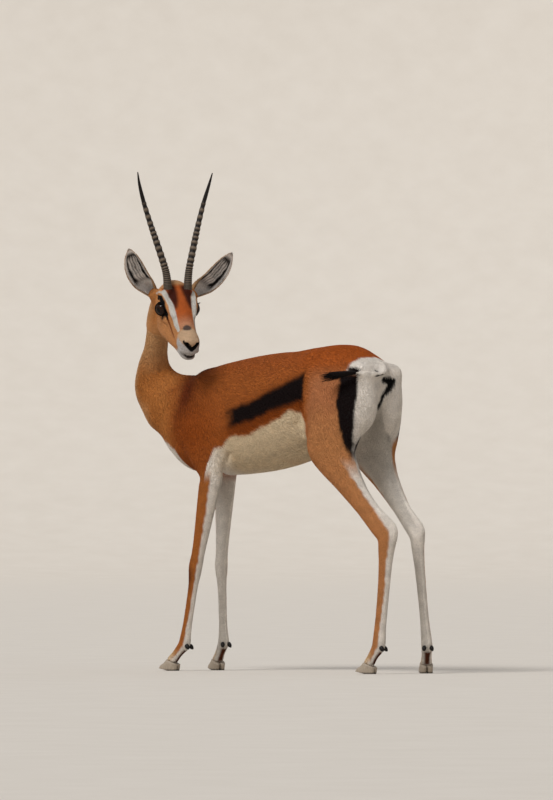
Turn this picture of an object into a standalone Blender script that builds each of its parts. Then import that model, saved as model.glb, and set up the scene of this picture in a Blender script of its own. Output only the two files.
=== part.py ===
"""A life-size Grant's gazelle doe, standing and looking back over her left shoulder.

The animal faces -X, her left side is -Y and up is +Z, in metres. The floor is z = 0.
Flesh is built from tubes and rounded masses, fused, then parted into named solids.
"""

import math

import bmesh
import bpy
from mathutils import Matrix, Vector

# Gap kept between neighbouring solids
GAP = 0.0003

# Facets of a ball
BALL_SIDES = 18
BALL_RINGS = 11

# Voxel sizes and triangle budgets of the fused flesh
BODY_VOXEL = 0.0060
HEAD_VOXEL = 0.0024
BODY_FACES = 3900
HEAD_FACES = 2900

# Moves the spine's frame so that the origin lies on the floor under the middle of the whole stance
STANCE_SHIFT = Vector((0.059, 0.0625, 0.0))

# Joints of each leg from the top down: the pose of the animal
LEFT_FORE = {
    "shoulder": (-0.290, -0.070, 0.660),
    "elbow": (-0.238, -0.076, 0.525),
    "knee": (-0.300, -0.070, 0.284),
    "fetlock": (-0.344, -0.071, 0.071),
    "coronet": (-0.380, -0.080, 0.026),
}
RIGHT_FORE = {
    "shoulder": (-0.325, 0.070, 0.660),
    "elbow": (-0.320, 0.065, 0.525),
    "knee": (-0.327, 0.056, 0.284),
    "fetlock": (-0.318, 0.055, 0.075),
    "coronet": (-0.350, 0.066, 0.026),
}
LEFT_HIND = {
    "hip": (0.215, -0.056, 0.770),
    "stifle": (0.190, -0.088, 0.598),
    "hock": (0.389, -0.070, 0.362),
    "fetlock": (0.357, -0.070, 0.073),
    "coronet": (0.333, -0.080, 0.026),
}
RIGHT_HIND = {
    "hip": (0.215, 0.056, 0.770),
    "stifle": (0.180, 0.092, 0.598),
    "hock": (0.374, 0.062, 0.360),
    "fetlock": (0.400, 0.073, 0.073),
    "coronet": (0.378, 0.095, 0.026),
}
# Way each foot points, in degrees outwards from straight ahead
TOE_OUT = {"fore_left": 14, "fore_right": 20, "hind_left": 16, "hind_right": 38}

# Thickness of a leg, as (joint + share of the way to the next, front, back, side)
FORE_SIZES = [
    (0.00, 0.056, 0.058, 0.030),
    (0.50, 0.052, 0.050, 0.029),
    (1.00, 0.038, 0.037, 0.025),
    (1.25, 0.031, 0.031, 0.0225),
    (1.60, 0.0225, 0.0240, 0.0185),
    (1.86, 0.0185, 0.0190, 0.0160),
    (2.00, 0.0205, 0.0185, 0.0172),
    (2.10, 0.0185, 0.0175, 0.0160),
    (2.24, 0.0135, 0.0152, 0.0125),
    (2.50, 0.0122, 0.0143, 0.0112),
    (2.76, 0.0122, 0.0148, 0.0112),
    (2.90, 0.0140, 0.0170, 0.0132),
    (3.00, 0.0155, 0.0190, 0.0148),
    (3.35, 0.0138, 0.0150, 0.0138),
    (3.70, 0.0128, 0.0132, 0.0138),
    (4.00, 0.0150, 0.0150, 0.0160),
    (4.30, 0.0150, 0.0150, 0.0160),
]
HIND_SIZES = [
    (0.00, 0.092, 0.098, 0.050),
    (0.40, 0.092, 0.104, 0.053),
    (0.80, 0.072, 0.094, 0.046),
    (1.00, 0.062, 0.082, 0.041),
    (1.15, 0.059, 0.070, 0.036),
    (1.30, 0.0500, 0.0500, 0.0305),
    (1.47, 0.0415, 0.0320, 0.0260),
    (1.69, 0.0330, 0.0240, 0.0210),
    (1.88, 0.0310, 0.0250, 0.0190),
    (2.00, 0.0290, 0.0290, 0.0190),
    (2.10, 0.0240, 0.0255, 0.0172),
    (2.25, 0.0180, 0.0215, 0.0142),
    (2.45, 0.0150, 0.0205, 0.0125),
    (2.72, 0.0145, 0.0195, 0.0118),
    (2.88, 0.0158, 0.0192, 0.0135),
    (3.00, 0.0172, 0.0208, 0.0155),
    (3.35, 0.0148, 0.0158, 0.0142),
    (3.70, 0.0135, 0.0138, 0.0142),
    (4.00, 0.0152, 0.0150, 0.0162),
    (4.30, 0.0152, 0.0150, 0.0162),
]
# Where the trunk gives way to the leg's own solid, in the leg's joint scale
FORE_CUT = 1.12
HIND_CUT = 1.36
# Achilles tendon and point of the hock: (joint scale, set back, radius)
TENDON_SIZES = [
    (1.40, 0.0220, 0.0100),
    (1.66, 0.0200, 0.0080),
    (1.80, 0.0240, 0.0085),
    (1.90, 0.0290, 0.0095),
    (1.955, 0.0320, 0.0105),
    (2.01, 0.0270, 0.0110),
    (2.08, 0.0170, 0.0100),
    (2.20, 0.0080, 0.0080),
]

# Trunk from the breast to the rump: (x, back line, belly line, half width, share of height at the widest)
TRUNK_SIZES = [
    (-0.512, 0.752, 0.690, 0.028, 0.50),
    (-0.482, 0.766, 0.652, 0.050, 0.48),
    (-0.430, 0.777, 0.606, 0.067, 0.44),
    (-0.385, 0.787, 0.562, 0.077, 0.42),
    (-0.340, 0.796, 0.530, 0.086, 0.42),
    (-0.295, 0.813, 0.525, 0.092, 0.42),
    (-0.250, 0.821, 0.521, 0.096, 0.42),
    (-0.150, 0.837, 0.526, 0.107, 0.43),
    (-0.050, 0.851, 0.540, 0.114, 0.44),
    (0.040, 0.863, 0.566, 0.112, 0.47),
    (0.120, 0.871, 0.605, 0.101, 0.52),
    (0.190, 0.871, 0.645, 0.090, 0.55),
    (0.245, 0.846, 0.675, 0.078, 0.52),
    (0.285, 0.828, 0.700, 0.060, 0.50),
    (0.312, 0.798, 0.720, 0.040, 0.50),
]

# Neck from the breast to the throat: (centre, throat side, nape side, half width, turn of the throat)
NECK_SIZES = [
    ((-0.345, 0.000, 0.706), 0.080, 0.086, 0.062, 0),
    ((-0.424, -0.006, 0.724), 0.104, 0.076, 0.062, 8),
    ((-0.478, -0.020, 0.766), 0.082, 0.056, 0.054, 28),
    ((-0.4825, -0.0405, 0.812), 0.051, 0.044, 0.0430, 58),
    ((-0.462, -0.0565, 0.858), 0.040, 0.037, 0.0320, 90),
    ((-0.443, -0.0695, 0.902), 0.040, 0.042, 0.0325, 118),
    ((-0.424, -0.077, 0.945), 0.046, 0.045, 0.0370, 140),
    ((-0.396, -0.084, 0.985), 0.044, 0.040, 0.0380, 153),
]
NECK_CUT_LOW = Vector((-0.440, -0.018, 0.765))
NECK_CUT_LOW_NORMAL = Vector((-0.62, -0.12, 0.78))
NECK_CUT_HIGH = Vector((-0.4365, -0.0740, 0.912))
NECK_CUT_HIGH_NORMAL = Vector((0.48, -0.17, 0.86))

# Head in its own frame: nose tip at x = 0, back of the skull at +X, mouth line near z = 0
HEAD_PITCH = 32
HEAD_TURN = 151.5
HORN_ROOT_LOCAL = Vector((0.190, 0.0, 0.092))
HORN_ROOT_PLACE = Vector((-0.3255, -0.1150, 1.0225))
# (distance behind the nose tip, top, bottom, half width, share of height at the widest, squareness)
SKULL_SIZES = [
    (0.000, 0.0300, 0.0060, 0.0110, 0.50, 2.0),
    (0.006, 0.0370, -0.0050, 0.0200, 0.50, 2.2),
    (0.016, 0.0430, -0.0090, 0.0265, 0.45, 2.4),
    (0.032, 0.0465, -0.0100, 0.0295, 0.42, 2.4),
    (0.055, 0.0510, -0.0110, 0.0290, 0.42, 2.3),
    (0.080, 0.0580, -0.0130, 0.0310, 0.45, 2.3),
    (0.105, 0.0670, -0.0160, 0.0345, 0.50, 2.3),
    (0.130, 0.0780, -0.0200, 0.0380, 0.55, 2.4),
    (0.155, 0.0875, -0.0240, 0.0410, 0.60, 2.5),
    (0.180, 0.0930, -0.0260, 0.0440, 0.62, 2.4),
    (0.205, 0.0920, -0.0240, 0.0435, 0.60, 2.2),
    (0.230, 0.0870, -0.0140, 0.0400, 0.55, 2.1),
    (0.252, 0.0700, 0.0020, 0.0300, 0.55, 2.0),
    (0.266, 0.0500, 0.0200, 0.0150, 0.50, 2.0),
]
# Lower jaw: (distance behind the nose tip, top, bottom, half width)
JAW_SIZES = [
    (0.004, -0.0080, -0.0180, 0.0095),
    (0.010, -0.0040, -0.0240, 0.0165),
    (0.022, -0.0040, -0.0270, 0.0205),
    (0.050, -0.0060, -0.0290, 0.0225),
    (0.085, 0.0000, -0.0345, 0.0260),
    (0.125, 0.0100, -0.0420, 0.0325),
    (0.160, 0.0200, -0.0500, 0.0375),
    (0.190, 0.0300, -0.0500, 0.0370),
    (0.212, 0.0350, -0.0400, 0.0320),
    (0.228, 0.0300, -0.0220, 0.0200),
]
BOSS_INSET = 0.002
BOSS_DEPTH = 0.018
BOSS_RADII = (0.0190, 0.0180, 0.0200)
NOSE_PLACE = (0.012, 0, 0.0290)
NOSE_RADII = (0.0130, 0.0230, 0.0130)
CROWN_PLACE = (0.206, 0, 0.0800)
CROWN_RADII = (0.034, 0.034, 0.018)
LIP_PLACE = Vector((0.024, 0.0150, 0.0020))
LIP_RADII = (0.0200, 0.0140, 0.0100)
# Ridges of one side: (x, y, z, half height, half thickness)
CHEEK_LINE = [
    (0.040, 0.0120, -0.0100, 0.010, 0.0080),
    (0.085, 0.0190, -0.0100, 0.018, 0.0125),
    (0.125, 0.0240, -0.0080, 0.025, 0.0155),
    (0.165, 0.0265, -0.0060, 0.034, 0.0165),
    (0.200, 0.0240, -0.0020, 0.034, 0.0155),
    (0.224, 0.0170, 0.0060, 0.024, 0.0120),
]
BROW_LINE = [
    (0.100, 0.0240, 0.0520, 0.008, 0.0080),
    (0.126, 0.0320, 0.0600, 0.011, 0.0100),
    (0.152, 0.0390, 0.0680, 0.011, 0.0110),
    (0.178, 0.0410, 0.0700, 0.013, 0.0120),
    (0.206, 0.0380, 0.0700, 0.016, 0.0120),
]
ARCH_LINE = [
    (0.100, 0.0220, 0.0300, 0.010, 0.0080),
    (0.128, 0.0320, 0.0260, 0.011, 0.0090),
    (0.155, 0.0390, 0.0230, 0.010, 0.0090),
    (0.184, 0.0400, 0.0260, 0.012, 0.0090),
    (0.212, 0.0360, 0.0360, 0.016, 0.0090),
]
EYE_LOCAL = Vector((0.1600, 0.0430, 0.0445))
EYE_RADIUS = 0.0185
LID_OPENING = (0.0170, 0.0140)
LID_THICKNESS = 0.0025
ORBIT_WALL = 0.0033
TEMPLE_SHIFT = Vector((0.016, -0.010, 0.004))
TEMPLE_RADII = (0.0300, 0.0230, 0.0260)

# Horn core line in an upright head: (height, outwards, forwards, radius)
HORN_LINE = [
    (-0.014, -0.003, 0.004, 0.0125),
    (0.000, 0.000, 0.000, 0.0118),
    (0.030, 0.0022, -0.002, 0.0106),
    (0.060, 0.0080, -0.007, 0.0097),
    (0.123, 0.0255, -0.020, 0.0089),
    (0.168, 0.0385, -0.029, 0.0078),
    (0.224, 0.0548, -0.035, 0.0063),
    (0.273, 0.0688, -0.031, 0.0042),
    (0.308, 0.0768, -0.023, 0.0015),
]
HORN_SPREAD = 0.0280
HORN_RINGS = 20
HORN_RINGED_SHARE = 0.76
HORN_RING_HEIGHT = 0.0011

EAR_SIZES = [
    (0.00, 0.0120),
    (0.12, 0.0140),
    (0.30, 0.0205),
    (0.50, 0.0260),
    (0.68, 0.0255),
    (0.84, 0.0180),
    (0.95, 0.0080),
    (1.00, 0.0015),
]
EAR_THICKNESS = 0.0030
EAR_BULGE = 0.0150
# Ear from its root to its tip, in an upright head: (outwards, forwards, up)
EAR_REACH = {"left": (0.102, 0.058, 0.108), "right": (0.102, 0.058, 0.117)}
EAR_ROOT_LOCAL = Vector((0.2150, 0.0460, 0.0620))
EAR_OPENING = {"left": 0.30, "right": 0.55}

# Nostril from the nose pad inwards: (x, y, z, radius)
NOSTRIL_LINE = [
    (-0.0025, 0.0040, 0.0180, 0.0016),
    (-0.0010, 0.0075, 0.0230, 0.0036),
    (0.0035, 0.0130, 0.0290, 0.0044),
    (0.0100, 0.0165, 0.0300, 0.0034),
    (0.0160, 0.0170, 0.0280, 0.0014),
]
MOUTH_CORNER = Vector((0.058, 0.0250, 0.0000))
MOUTH_GROOVE = 0.0012
MOUTH_OUTSIDE = 0.0150
MOUTH_DEPTH = 0.0100

# Tail from the rump, swept to the left: (x, y, z, radius)
TAIL_LINE = [
    (0.245, 0.000, 0.812, 0.0140),
    (0.278, 0.000, 0.820, 0.0145),
    (0.306, 0.000, 0.811, 0.0120),
    (0.325, -0.006, 0.797, 0.0095),
    (0.331, -0.030, 0.788, 0.0070),
    (0.321, -0.060, 0.787, 0.0058),
    (0.304, -0.088, 0.789, 0.0052),
    (0.294, -0.103, 0.790, 0.0048),
]
TUFT_ROOT = Vector((0.301, -0.095, 0.790))
TUFT_TIP = Vector((0.228, -0.158, 0.786))
TUFT_LOCKS = 9
TUFT_HALF_WIDTH = 0.0100

# Cloven hoof: (height, back shift, front, back, half width)
CLAW_SIZES = [
    (0.0000, 0.0000, 0.0310, 0.0200, 0.0074),
    (0.0045, 0.0012, 0.0285, 0.0205, 0.0082),
    (0.0160, 0.0055, 0.0200, 0.0190, 0.0084),
    (0.0420, 0.0150, 0.0110, 0.0130, 0.0078),
]
CLAW_APART = 0.0089
CORONET_LEVEL = 0.0245
CORONET_SLOPE = 24
DEWCLAW_LENGTH = 0.0150
DEWCLAW_RADIUS = 0.0062


def clear_scene():
    for old in list(bpy.data.objects):
        bpy.data.objects.remove(old)


def material(name, colour, roughness):
    made = bpy.data.materials.new(name)
    made.use_nodes = True
    shader = made.node_tree.nodes["Principled BSDF"]
    shader.inputs["Base Color"].default_value = (*colour, 1)
    shader.inputs["Roughness"].default_value = roughness
    return made


def spline(points, t):
    """A smooth value at t, from 0 to the last point's index, through numbers or vectors."""
    last = len(points) - 1
    i = min(int(t), last - 1)
    f = t - i
    a = points[max(i - 1, 0)]
    b = points[i]
    c = points[i + 1]
    d = points[min(i + 2, last)]
    near = (c - a) * 0.5
    far = (d - b) * 0.5
    f2 = f * f
    f3 = f2 * f
    return b * (2 * f3 - 3 * f2 + 1) + near * (f3 - 2 * f2 + f) + c * (3 * f2 - 2 * f3) + far * (f3 - f2)


def bent(value, squareness):
    return math.copysign(abs(value) ** (2 / squareness), value)


def tube(bm, rings, sides, steps):
    """A closed skin through rings of (centre, front way, front, back, side, squareness)."""
    centres = [Vector(r[0]) for r in rings]
    ways = [Vector(r[1]).normalized() for r in rings]
    sizes = [Vector(r[2:5]) for r in rings]
    squares = [r[5] for r in rings]
    last = len(rings) - 1
    made = bmesh.ops.create_grid(bm, x_segments=sides, y_segments=steps, size=1)["verts"]
    for vert in made:
        turn = math.pi * (vert.co.x + 1)
        t = min(max((vert.co.y + 1) / 2, 0), 1) * last
        centre = spline(centres, t)
        ahead = spline(centres, min(t + 0.02, last)) - spline(centres, max(t - 0.02, 0))
        along = ahead.normalized()
        front = spline(ways, t)
        front = (front - along * front.dot(along)).normalized()
        side = along.cross(front)
        size = spline(sizes, t)
        square = spline(squares, t)
        reach = size.x if math.cos(turn) > 0 else size.y
        vert.co = (
            centre
            + front * bent(math.cos(turn), square) * reach
            + side * bent(math.sin(turn), square) * size.z
        )
    bmesh.ops.remove_doubles(bm, verts=made, dist=1e-6)
    live = [v for v in made if v.is_valid]
    rims = [e for e in {e for v in live for e in v.link_edges} if e.is_boundary]
    bmesh.ops.holes_fill(bm, edges=rims, sides=0)
    return live


def ball(bm, centre, radii, turn=None):
    """A rounded mass with its own half sizes, turned if asked."""
    place = Matrix.Translation(Vector(centre))
    if turn is not None:
        place = place @ turn
    place = place @ Matrix.Diagonal((*radii, 1))
    bmesh.ops.create_uvsphere(bm, u_segments=BALL_SIDES, v_segments=BALL_RINGS, radius=1, matrix=place)


def turned(axis, degrees):
    return Matrix.Rotation(math.radians(degrees), 4, axis)


def finish_mesh(bm, name):
    bmesh.ops.recalc_face_normals(bm, faces=bm.faces)
    mesh = bpy.data.meshes.new(name)
    bm.to_mesh(mesh)
    bm.free()
    obj = bpy.data.objects.new(name, mesh)
    bpy.context.scene.collection.objects.link(obj)
    return obj


def settle(obj):
    """Applies an object's modifiers to its mesh."""
    bpy.context.view_layer.update()
    graph = bpy.context.evaluated_depsgraph_get()
    mesh = bpy.data.meshes.new_from_object(obj.evaluated_get(graph))
    obj.modifiers.clear()
    obj.data = mesh
    return obj


def fused(obj, voxel, rounds, faces, more, weight):
    """Fuses overlapping skins into one, smooths it, more so by a weight from place, and thins it."""
    melt = obj.modifiers.new("fuse", "REMESH")
    melt.mode = "VOXEL"
    melt.voxel_size = voxel
    settle(obj)
    soften = obj.modifiers.new("soften", "SMOOTH")
    soften.factor = 0.5
    soften.iterations = rounds
    calm = obj.vertex_groups.new(name="calm")
    for vert in obj.data.vertices:
        calm.add([vert.index], min(max(weight(vert.co), 0), 1), "REPLACE")
    soften = obj.modifiers.new("soften_more", "SMOOTH")
    soften.factor = 0.5
    soften.iterations = more
    soften.vertex_group = "calm"
    settle(obj)
    thin = obj.modifiers.new("thin", "DECIMATE")
    thin.ratio = faces / (2 * len(obj.data.polygons))
    thin.use_collapse_triangulate = True
    return settle(obj)


def body_calm(place):
    """The trunk is smoothed well, the legs' tops little, so that they keep their thickness."""
    return (place.z - 0.56) / 0.04


def head_calm(place):
    """The skull is smoothed well, the lids and the muzzle little."""
    eye = min((place - mirrored(EYE_LOCAL, side)).length for side in (-1, 1))
    return min((eye - 0.022) / 0.010, (place.x - 0.035) / 0.020)


def copy_of(obj, name):
    twin = bpy.data.objects.new(name, obj.data.copy())
    bpy.context.scene.collection.objects.link(twin)
    return twin


def grown(obj, distance):
    """A copy whose skin stands out by a distance, to cut a neighbour with."""
    twin = copy_of(obj, "cutter")
    bm = bmesh.new()
    bm.from_mesh(twin.data)
    bm.normal_update()
    moved = [(v, v.co + v.normal * distance) for v in bm.verts]
    for vert, place in moved:
        vert.co = place
    bm.to_mesh(twin.data)
    bm.free()
    return twin


def drop(obj):
    bpy.data.objects.remove(obj)


def flipped(bm, edge):
    """Gives two of the four triangles on an edge their other diagonal instead."""
    faces = sorted(edge.link_faces, key=lambda f: f.calc_area())
    best = None
    for i, one in enumerate(faces):
        for two in faces[i + 1 :]:
            fit = one.normal.dot(two.normal)
            if best is None or fit > best[0]:
                best = (fit, one, two)
    one, two = best[1:]
    c = next(v for v in one.verts if v not in edge.verts)
    d = next(v for v in two.verts if v not in edge.verts)
    if c == d or bm.edges.get((c, d)):
        return False
    corners = [v for v in one.verts]
    start = corners.index(c)
    a = corners[(start + 1) % 3]
    b = corners[(start + 2) % 3]
    bmesh.ops.delete(bm, geom=[one, two], context="FACES_ONLY")
    bm.faces.new((c, a, d))
    bm.faces.new((d, b, c))
    return True


def three_sided(bm):
    """Splits every face into triangles, each edge between exactly two of them."""
    bmesh.ops.dissolve_degenerate(bm, dist=2e-5, edges=bm.edges)
    bmesh.ops.triangulate(bm, faces=bm.faces)
    for edge in [e for e in bm.edges if len(e.link_faces) == 4]:
        bm.normal_update()
        flipped(bm, edge)
    wires = [e for e in bm.edges if not e.link_faces]
    bmesh.ops.delete(bm, geom=wires, context="EDGES")


def combine(obj, other, operation, solver="EXACT"):
    step = obj.modifiers.new("combine", "BOOLEAN")
    step.operation = operation
    step.solver = solver
    step.object = other
    settle(obj)
    bm = bmesh.new()
    bm.from_mesh(obj.data)
    three_sided(bm)
    bm.to_mesh(obj.data)
    bm.free()
    return obj


def largest_body(obj):
    """Keeps the largest closed surface of an object."""
    bm = bmesh.new()
    bm.from_mesh(obj.data)
    left = set(bm.faces)
    groups = []
    while left:
        seed = left.pop()
        group = {seed}
        edge = [seed]
        while edge:
            face = edge.pop()
            for side in face.edges:
                for near in side.link_faces:
                    if near in left:
                        left.discard(near)
                        group.add(near)
                        edge.append(near)
        groups.append(group)
    groups.sort(key=lambda g: sum(f.calc_area() for f in g), reverse=True)
    spare = [f for g in groups[1:] for f in g]
    bmesh.ops.delete(bm, geom=spare, context="FACES")
    bm.to_mesh(obj.data)
    bm.free()
    return obj


def sliced(obj, point, normal, keep_above, name):
    """A copy of what lies on one side of a plane, closed there, half a gap back from it."""
    twin = copy_of(obj, name)
    bm = bmesh.new()
    bm.from_mesh(twin.data)
    way = normal.normalized()
    shift = GAP / 2 if keep_above else -GAP / 2
    cut = bmesh.ops.bisect_plane(
        bm,
        geom=bm.verts[:] + bm.edges[:] + bm.faces[:],
        dist=1e-6,
        plane_co=point + way * shift,
        plane_no=way,
        clear_inner=keep_above,
        clear_outer=not keep_above,
    )
    rim = [e for e in cut["geom_cut"] if isinstance(e, bmesh.types.BMEdge)]
    bmesh.ops.holes_fill(bm, edges=rim, sides=0)
    three_sided(bm)
    bm.to_mesh(twin.data)
    bm.free()
    return twin


def joint_place(joints, scale):
    """The point at a place on a leg's joint scale."""
    points = [Vector(p) for p in joints.values()]
    i = min(int(scale), len(points) - 2)
    return points[i].lerp(points[i + 1], scale - i)


def foot_way(leg):
    out = math.radians(TOE_OUT[leg])
    side = 1 if leg.endswith("right") else -1
    return Vector((-math.cos(out), side * math.sin(out), 0))


def leg_rings(leg, joints, sizes, first=0.0, last=9.0):
    """Rings of a leg between two places on its joint scale, turning from the trunk's way to the foot's."""
    toe = foot_way(leg)
    rings = []
    for scale, front, back, side in sizes:
        if not first <= scale <= last:
            continue
        turn = min(max((scale - 1.0) / 1.0, 0), 1)
        way = Vector((-1, 0, 0)).lerp(toe, turn)
        rings.append((joint_place(joints, scale), way, front, back, side, 2.0))
    return rings


def tendon_rings(joints):
    """The tendon stands behind the leg, in the plane in which the hock bends."""
    stifle, hock, fetlock = (joint_place(joints, scale) for scale in (1, 2, 3))
    way = ((fetlock - hock).normalized() - (hock - stifle).normalized()).normalized()
    rings = []
    for scale, setback, radius in TENDON_SIZES:
        along = joint_place(joints, min(scale + 0.1, 2.9)) - joint_place(joints, scale - 0.1)
        along.normalize()
        back = -(way - along * way.dot(along)).normalized()
        rings.append((joint_place(joints, scale) + back * setback, way, radius, radius, radius * 0.9, 2.0))
    return rings


def trunk_rings():
    rings = []
    for x, top, bottom, half, share in TRUNK_SIZES:
        middle = bottom + (top - bottom) * share
        rings.append(((x, 0, middle), (0, 0, 1), top - middle, middle - bottom, half, 2.1))
    return rings


def neck_rings():
    rings = []
    for centre, throat, nape, half, turn in NECK_SIZES:
        angle = math.radians(turn)
        way = (-math.cos(angle), -math.sin(angle), -0.12)
        rings.append((centre, way, throat, nape, half, 2.0))
    return rings


def shoulder_masses(bm, joints, side):
    """Shoulder blade, upper arm and the triceps between blade and elbow."""
    point = Vector((joints["shoulder"][0] - 0.060, side * 0.064, 0.662))
    blade_top = Vector((-0.258, side * 0.036, 0.770))
    elbow = Vector(joints["elbow"])
    forward = (-1, 0, 0.3)
    blade = [
        (blade_top, forward, 0.034, 0.046, 0.018, 2.0),
        (blade_top.lerp(point, 0.35), forward, 0.044, 0.062, 0.029, 2.0),
        (blade_top.lerp(point, 0.75), forward, 0.042, 0.056, 0.033, 2.0),
        (point, forward, 0.036, 0.042, 0.029, 2.0),
        (point.lerp(elbow, 0.12), forward, 0.024, 0.030, 0.020, 2.0),
    ]
    tube(bm, blade, 16, 14)
    arm = [
        (point, (-1, 0, -1), 0.030, 0.034, 0.024, 2.0),
        (point.lerp(elbow, 0.5), (-1, 0, -1), 0.040, 0.050, 0.028, 2.0),
        (elbow, (-1, 0, -1), 0.034, 0.040, 0.024, 2.0),
    ]
    tube(bm, arm, 16, 10)
    belly = blade_top.lerp(elbow, 0.62) + Vector((0.012, side * 0.014, 0.0))
    ball(bm, belly, (0.046, 0.026, 0.086), turned("Y", -8))


def rump_masses(bm, joints, side):
    """Hip bone, the great muscle over the thigh and the two long muscles down to the gaskin."""
    stifle = Vector(joints["stifle"])
    ball(bm, (0.120, side * 0.060, 0.822), (0.052, 0.026, 0.034), turned("Y", -10))
    ball(bm, (0.210, side * 0.046, 0.782), (0.100, 0.048, 0.066), turned("Y", 20))
    ball(bm, (0.291, side * 0.055, 0.785), (0.036, 0.030, 0.036))
    seat = Vector((0.282, side * 0.048, 0.725))
    ball(bm, seat, (0.046, 0.040, 0.096), turned("Y", -2))
    hamstring = [
        (seat + Vector((0.000, 0, 0.050)), (-1, 0, 0), 0.040, 0.042, 0.034, 2.0),
        (seat + Vector((-0.006, side * 0.012, -0.040)), (-1, 0, 0), 0.040, 0.036, 0.036, 2.0),
        (seat + Vector((-0.028, side * 0.026, -0.110)), (-1, 0, 0), 0.036, 0.032, 0.032, 2.0),
        (joint_place(joints, 1.16) + Vector((0.034, 0, 0.010)), (-1, 0, -1), 0.028, 0.022, 0.024, 2.0),
    ]
    tube(bm, hamstring, 16, 16)
    ball(bm, stifle + Vector((-0.034, side * 0.006, 0.012)), (0.026, 0.030, 0.040), turned("Y", 12))
    flank = [
        ((0.050, side * 0.072, 0.640), (0, 0, 1), 0.020, 0.020, 0.014, 2.0),
        ((0.095, side * 0.076, 0.640), (0, 0, 1), 0.036, 0.030, 0.016, 2.0),
        (stifle + Vector((-0.050, side * -0.004, 0.050)), (0, 0, 1), 0.044, 0.034, 0.020, 2.0),
        (stifle + Vector((-0.010, 0, 0.030)), (0, 0, 1), 0.036, 0.036, 0.022, 2.0),
    ]
    tube(bm, flank, 14, 12)


def build_flesh():
    """Trunk, neck and the tops of the legs as one fused skin."""
    bm = bmesh.new()
    tube(bm, trunk_rings(), 36, 60)
    tube(bm, neck_rings(), 28, 40)
    ball(bm, (-0.450, -0.020, 0.706), (0.078, 0.062, 0.076), turned("Y", -20))
    for leg, joints in (("fore_left", LEFT_FORE), ("fore_right", RIGHT_FORE)):
        side = 1 if leg.endswith("right") else -1
        tube(bm, leg_rings(leg, joints, FORE_SIZES, last=FORE_CUT + 0.55), 20, 40)
        shoulder_masses(bm, joints, side)
    for leg, joints in (("hind_left", LEFT_HIND), ("hind_right", RIGHT_HIND)):
        side = 1 if leg.endswith("right") else -1
        tube(bm, leg_rings(leg, joints, HIND_SIZES, last=HIND_CUT + 0.55), 20, 40)
        rump_masses(bm, joints, side)
    whole = finish_mesh(bm, "flesh")
    return whole


def leg_node(leg, joints, sizes, cut):
    """The free part of a leg, from its cut to the coronet, without the claws."""
    bm = bmesh.new()
    tube(bm, leg_rings(leg, joints, sizes, first=cut - 0.3), 12, 26)
    obj = finish_mesh(bm, "leg_" + leg)
    if leg.startswith("hind"):
        bm = bmesh.new()
        tube(bm, tendon_rings(joints), 8, 9)
        tendon = finish_mesh(bm, "tendon")
        combine(obj, tendon, "UNION")
        drop(tendon)
    return obj


def cut_plane(joints, cut):
    point = joint_place(joints, cut)
    way = joint_place(joints, cut - 0.05) - joint_place(joints, cut + 0.05)
    return point, way.normalized()


def coronet_plane(leg, joints):
    toe = foot_way(leg)
    centre = Vector(joints["coronet"])
    point = Vector((centre.x, centre.y, CORONET_LEVEL))
    slope = math.radians(CORONET_SLOPE)
    return point, Vector((0, 0, math.cos(slope))) - toe * math.sin(slope)


def build_claws(leg, joints):
    """The two claws of a foot, flat on the floor."""
    toe = foot_way(leg)
    across = toe.cross(Vector((0, 0, 1)))
    centre = Vector(joints["coronet"])
    point, way = coronet_plane(leg, joints)
    claws = []
    for name, side in (("inner", -1), ("outer", 1)):
        out = side * (1 if leg.endswith("right") else -1)
        middle = Vector((centre.x, centre.y, 0)) + across * CLAW_APART * out
        ahead = (toe + across * 0.06 * out).normalized()
        rings = []
        for height, shift, front, back, half in CLAW_SIZES:
            place = middle - ahead * (shift - 0.004) + Vector((0, 0, height))
            rings.append((place, ahead, front, back, half, 2.0))
        bm = bmesh.new()
        verts = tube(bm, rings, 12, 4)
        for vert in verts:
            vert.co.z = max(vert.co.z, 0)
        claw = finish_mesh(bm, "raw_claw")
        part = sliced(claw, point, way, False, f"hoof_{leg}_{name}")
        drop(claw)
        claws.append(part)
    return claws


def build_dewclaws(leg, joints, flesh):
    """The two dewclaws behind the fetlock, cut clear of the leg."""
    toe = foot_way(leg)
    across = toe.cross(Vector((0, 0, 1)))
    fetlock = Vector(joints["fetlock"])
    cutter = grown(flesh, GAP)
    made = []
    for name, side in (("inner", -1), ("outer", 1)):
        out = side * (1 if leg.endswith("right") else -1)
        root = fetlock - toe * 0.0120 + across * 0.0088 * out + Vector((0, 0, -0.002))
        way = (-toe * 0.75 + across * 0.25 * out + Vector((0, 0, -0.9))).normalized()
        rings = []
        for share, swell in ((0, 0.85), (0.35, 1.0), (0.7, 0.8), (1.0, 0.25)):
            place = root + way * DEWCLAW_LENGTH * share
            radius = DEWCLAW_RADIUS * swell
            rings.append((place, toe, radius, radius, radius * 0.9, 2.0))
        bm = bmesh.new()
        tube(bm, rings, 7, 3)
        claw = finish_mesh(bm, f"dewclaw_{leg}_{name}")
        combine(claw, cutter, "DIFFERENCE")
        made.append(largest_body(claw))
    drop(cutter)
    return made


def head_matrix():
    """Places the head's own frame in the animal's: nose down by the pitch, turned back over the left side."""
    turn = turned("Z", HEAD_TURN) @ turned("Y", -HEAD_PITCH)
    shift = HORN_ROOT_PLACE - turn.to_3x3() @ HORN_ROOT_LOCAL
    return Matrix.Translation(shift) @ turn


def upright_matrix():
    """A frame at the horns' root that faces as the head does but stays level."""
    return Matrix.Translation(HORN_ROOT_PLACE) @ turned("Z", HEAD_TURN)


def skull_rings():
    rings = []
    for x, top, bottom, half, share, square in SKULL_SIZES:
        middle = bottom + (top - bottom) * share
        rings.append(((x, 0, middle), (0, 0, 1), top - middle, middle - bottom, half, square))
    return rings


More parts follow.
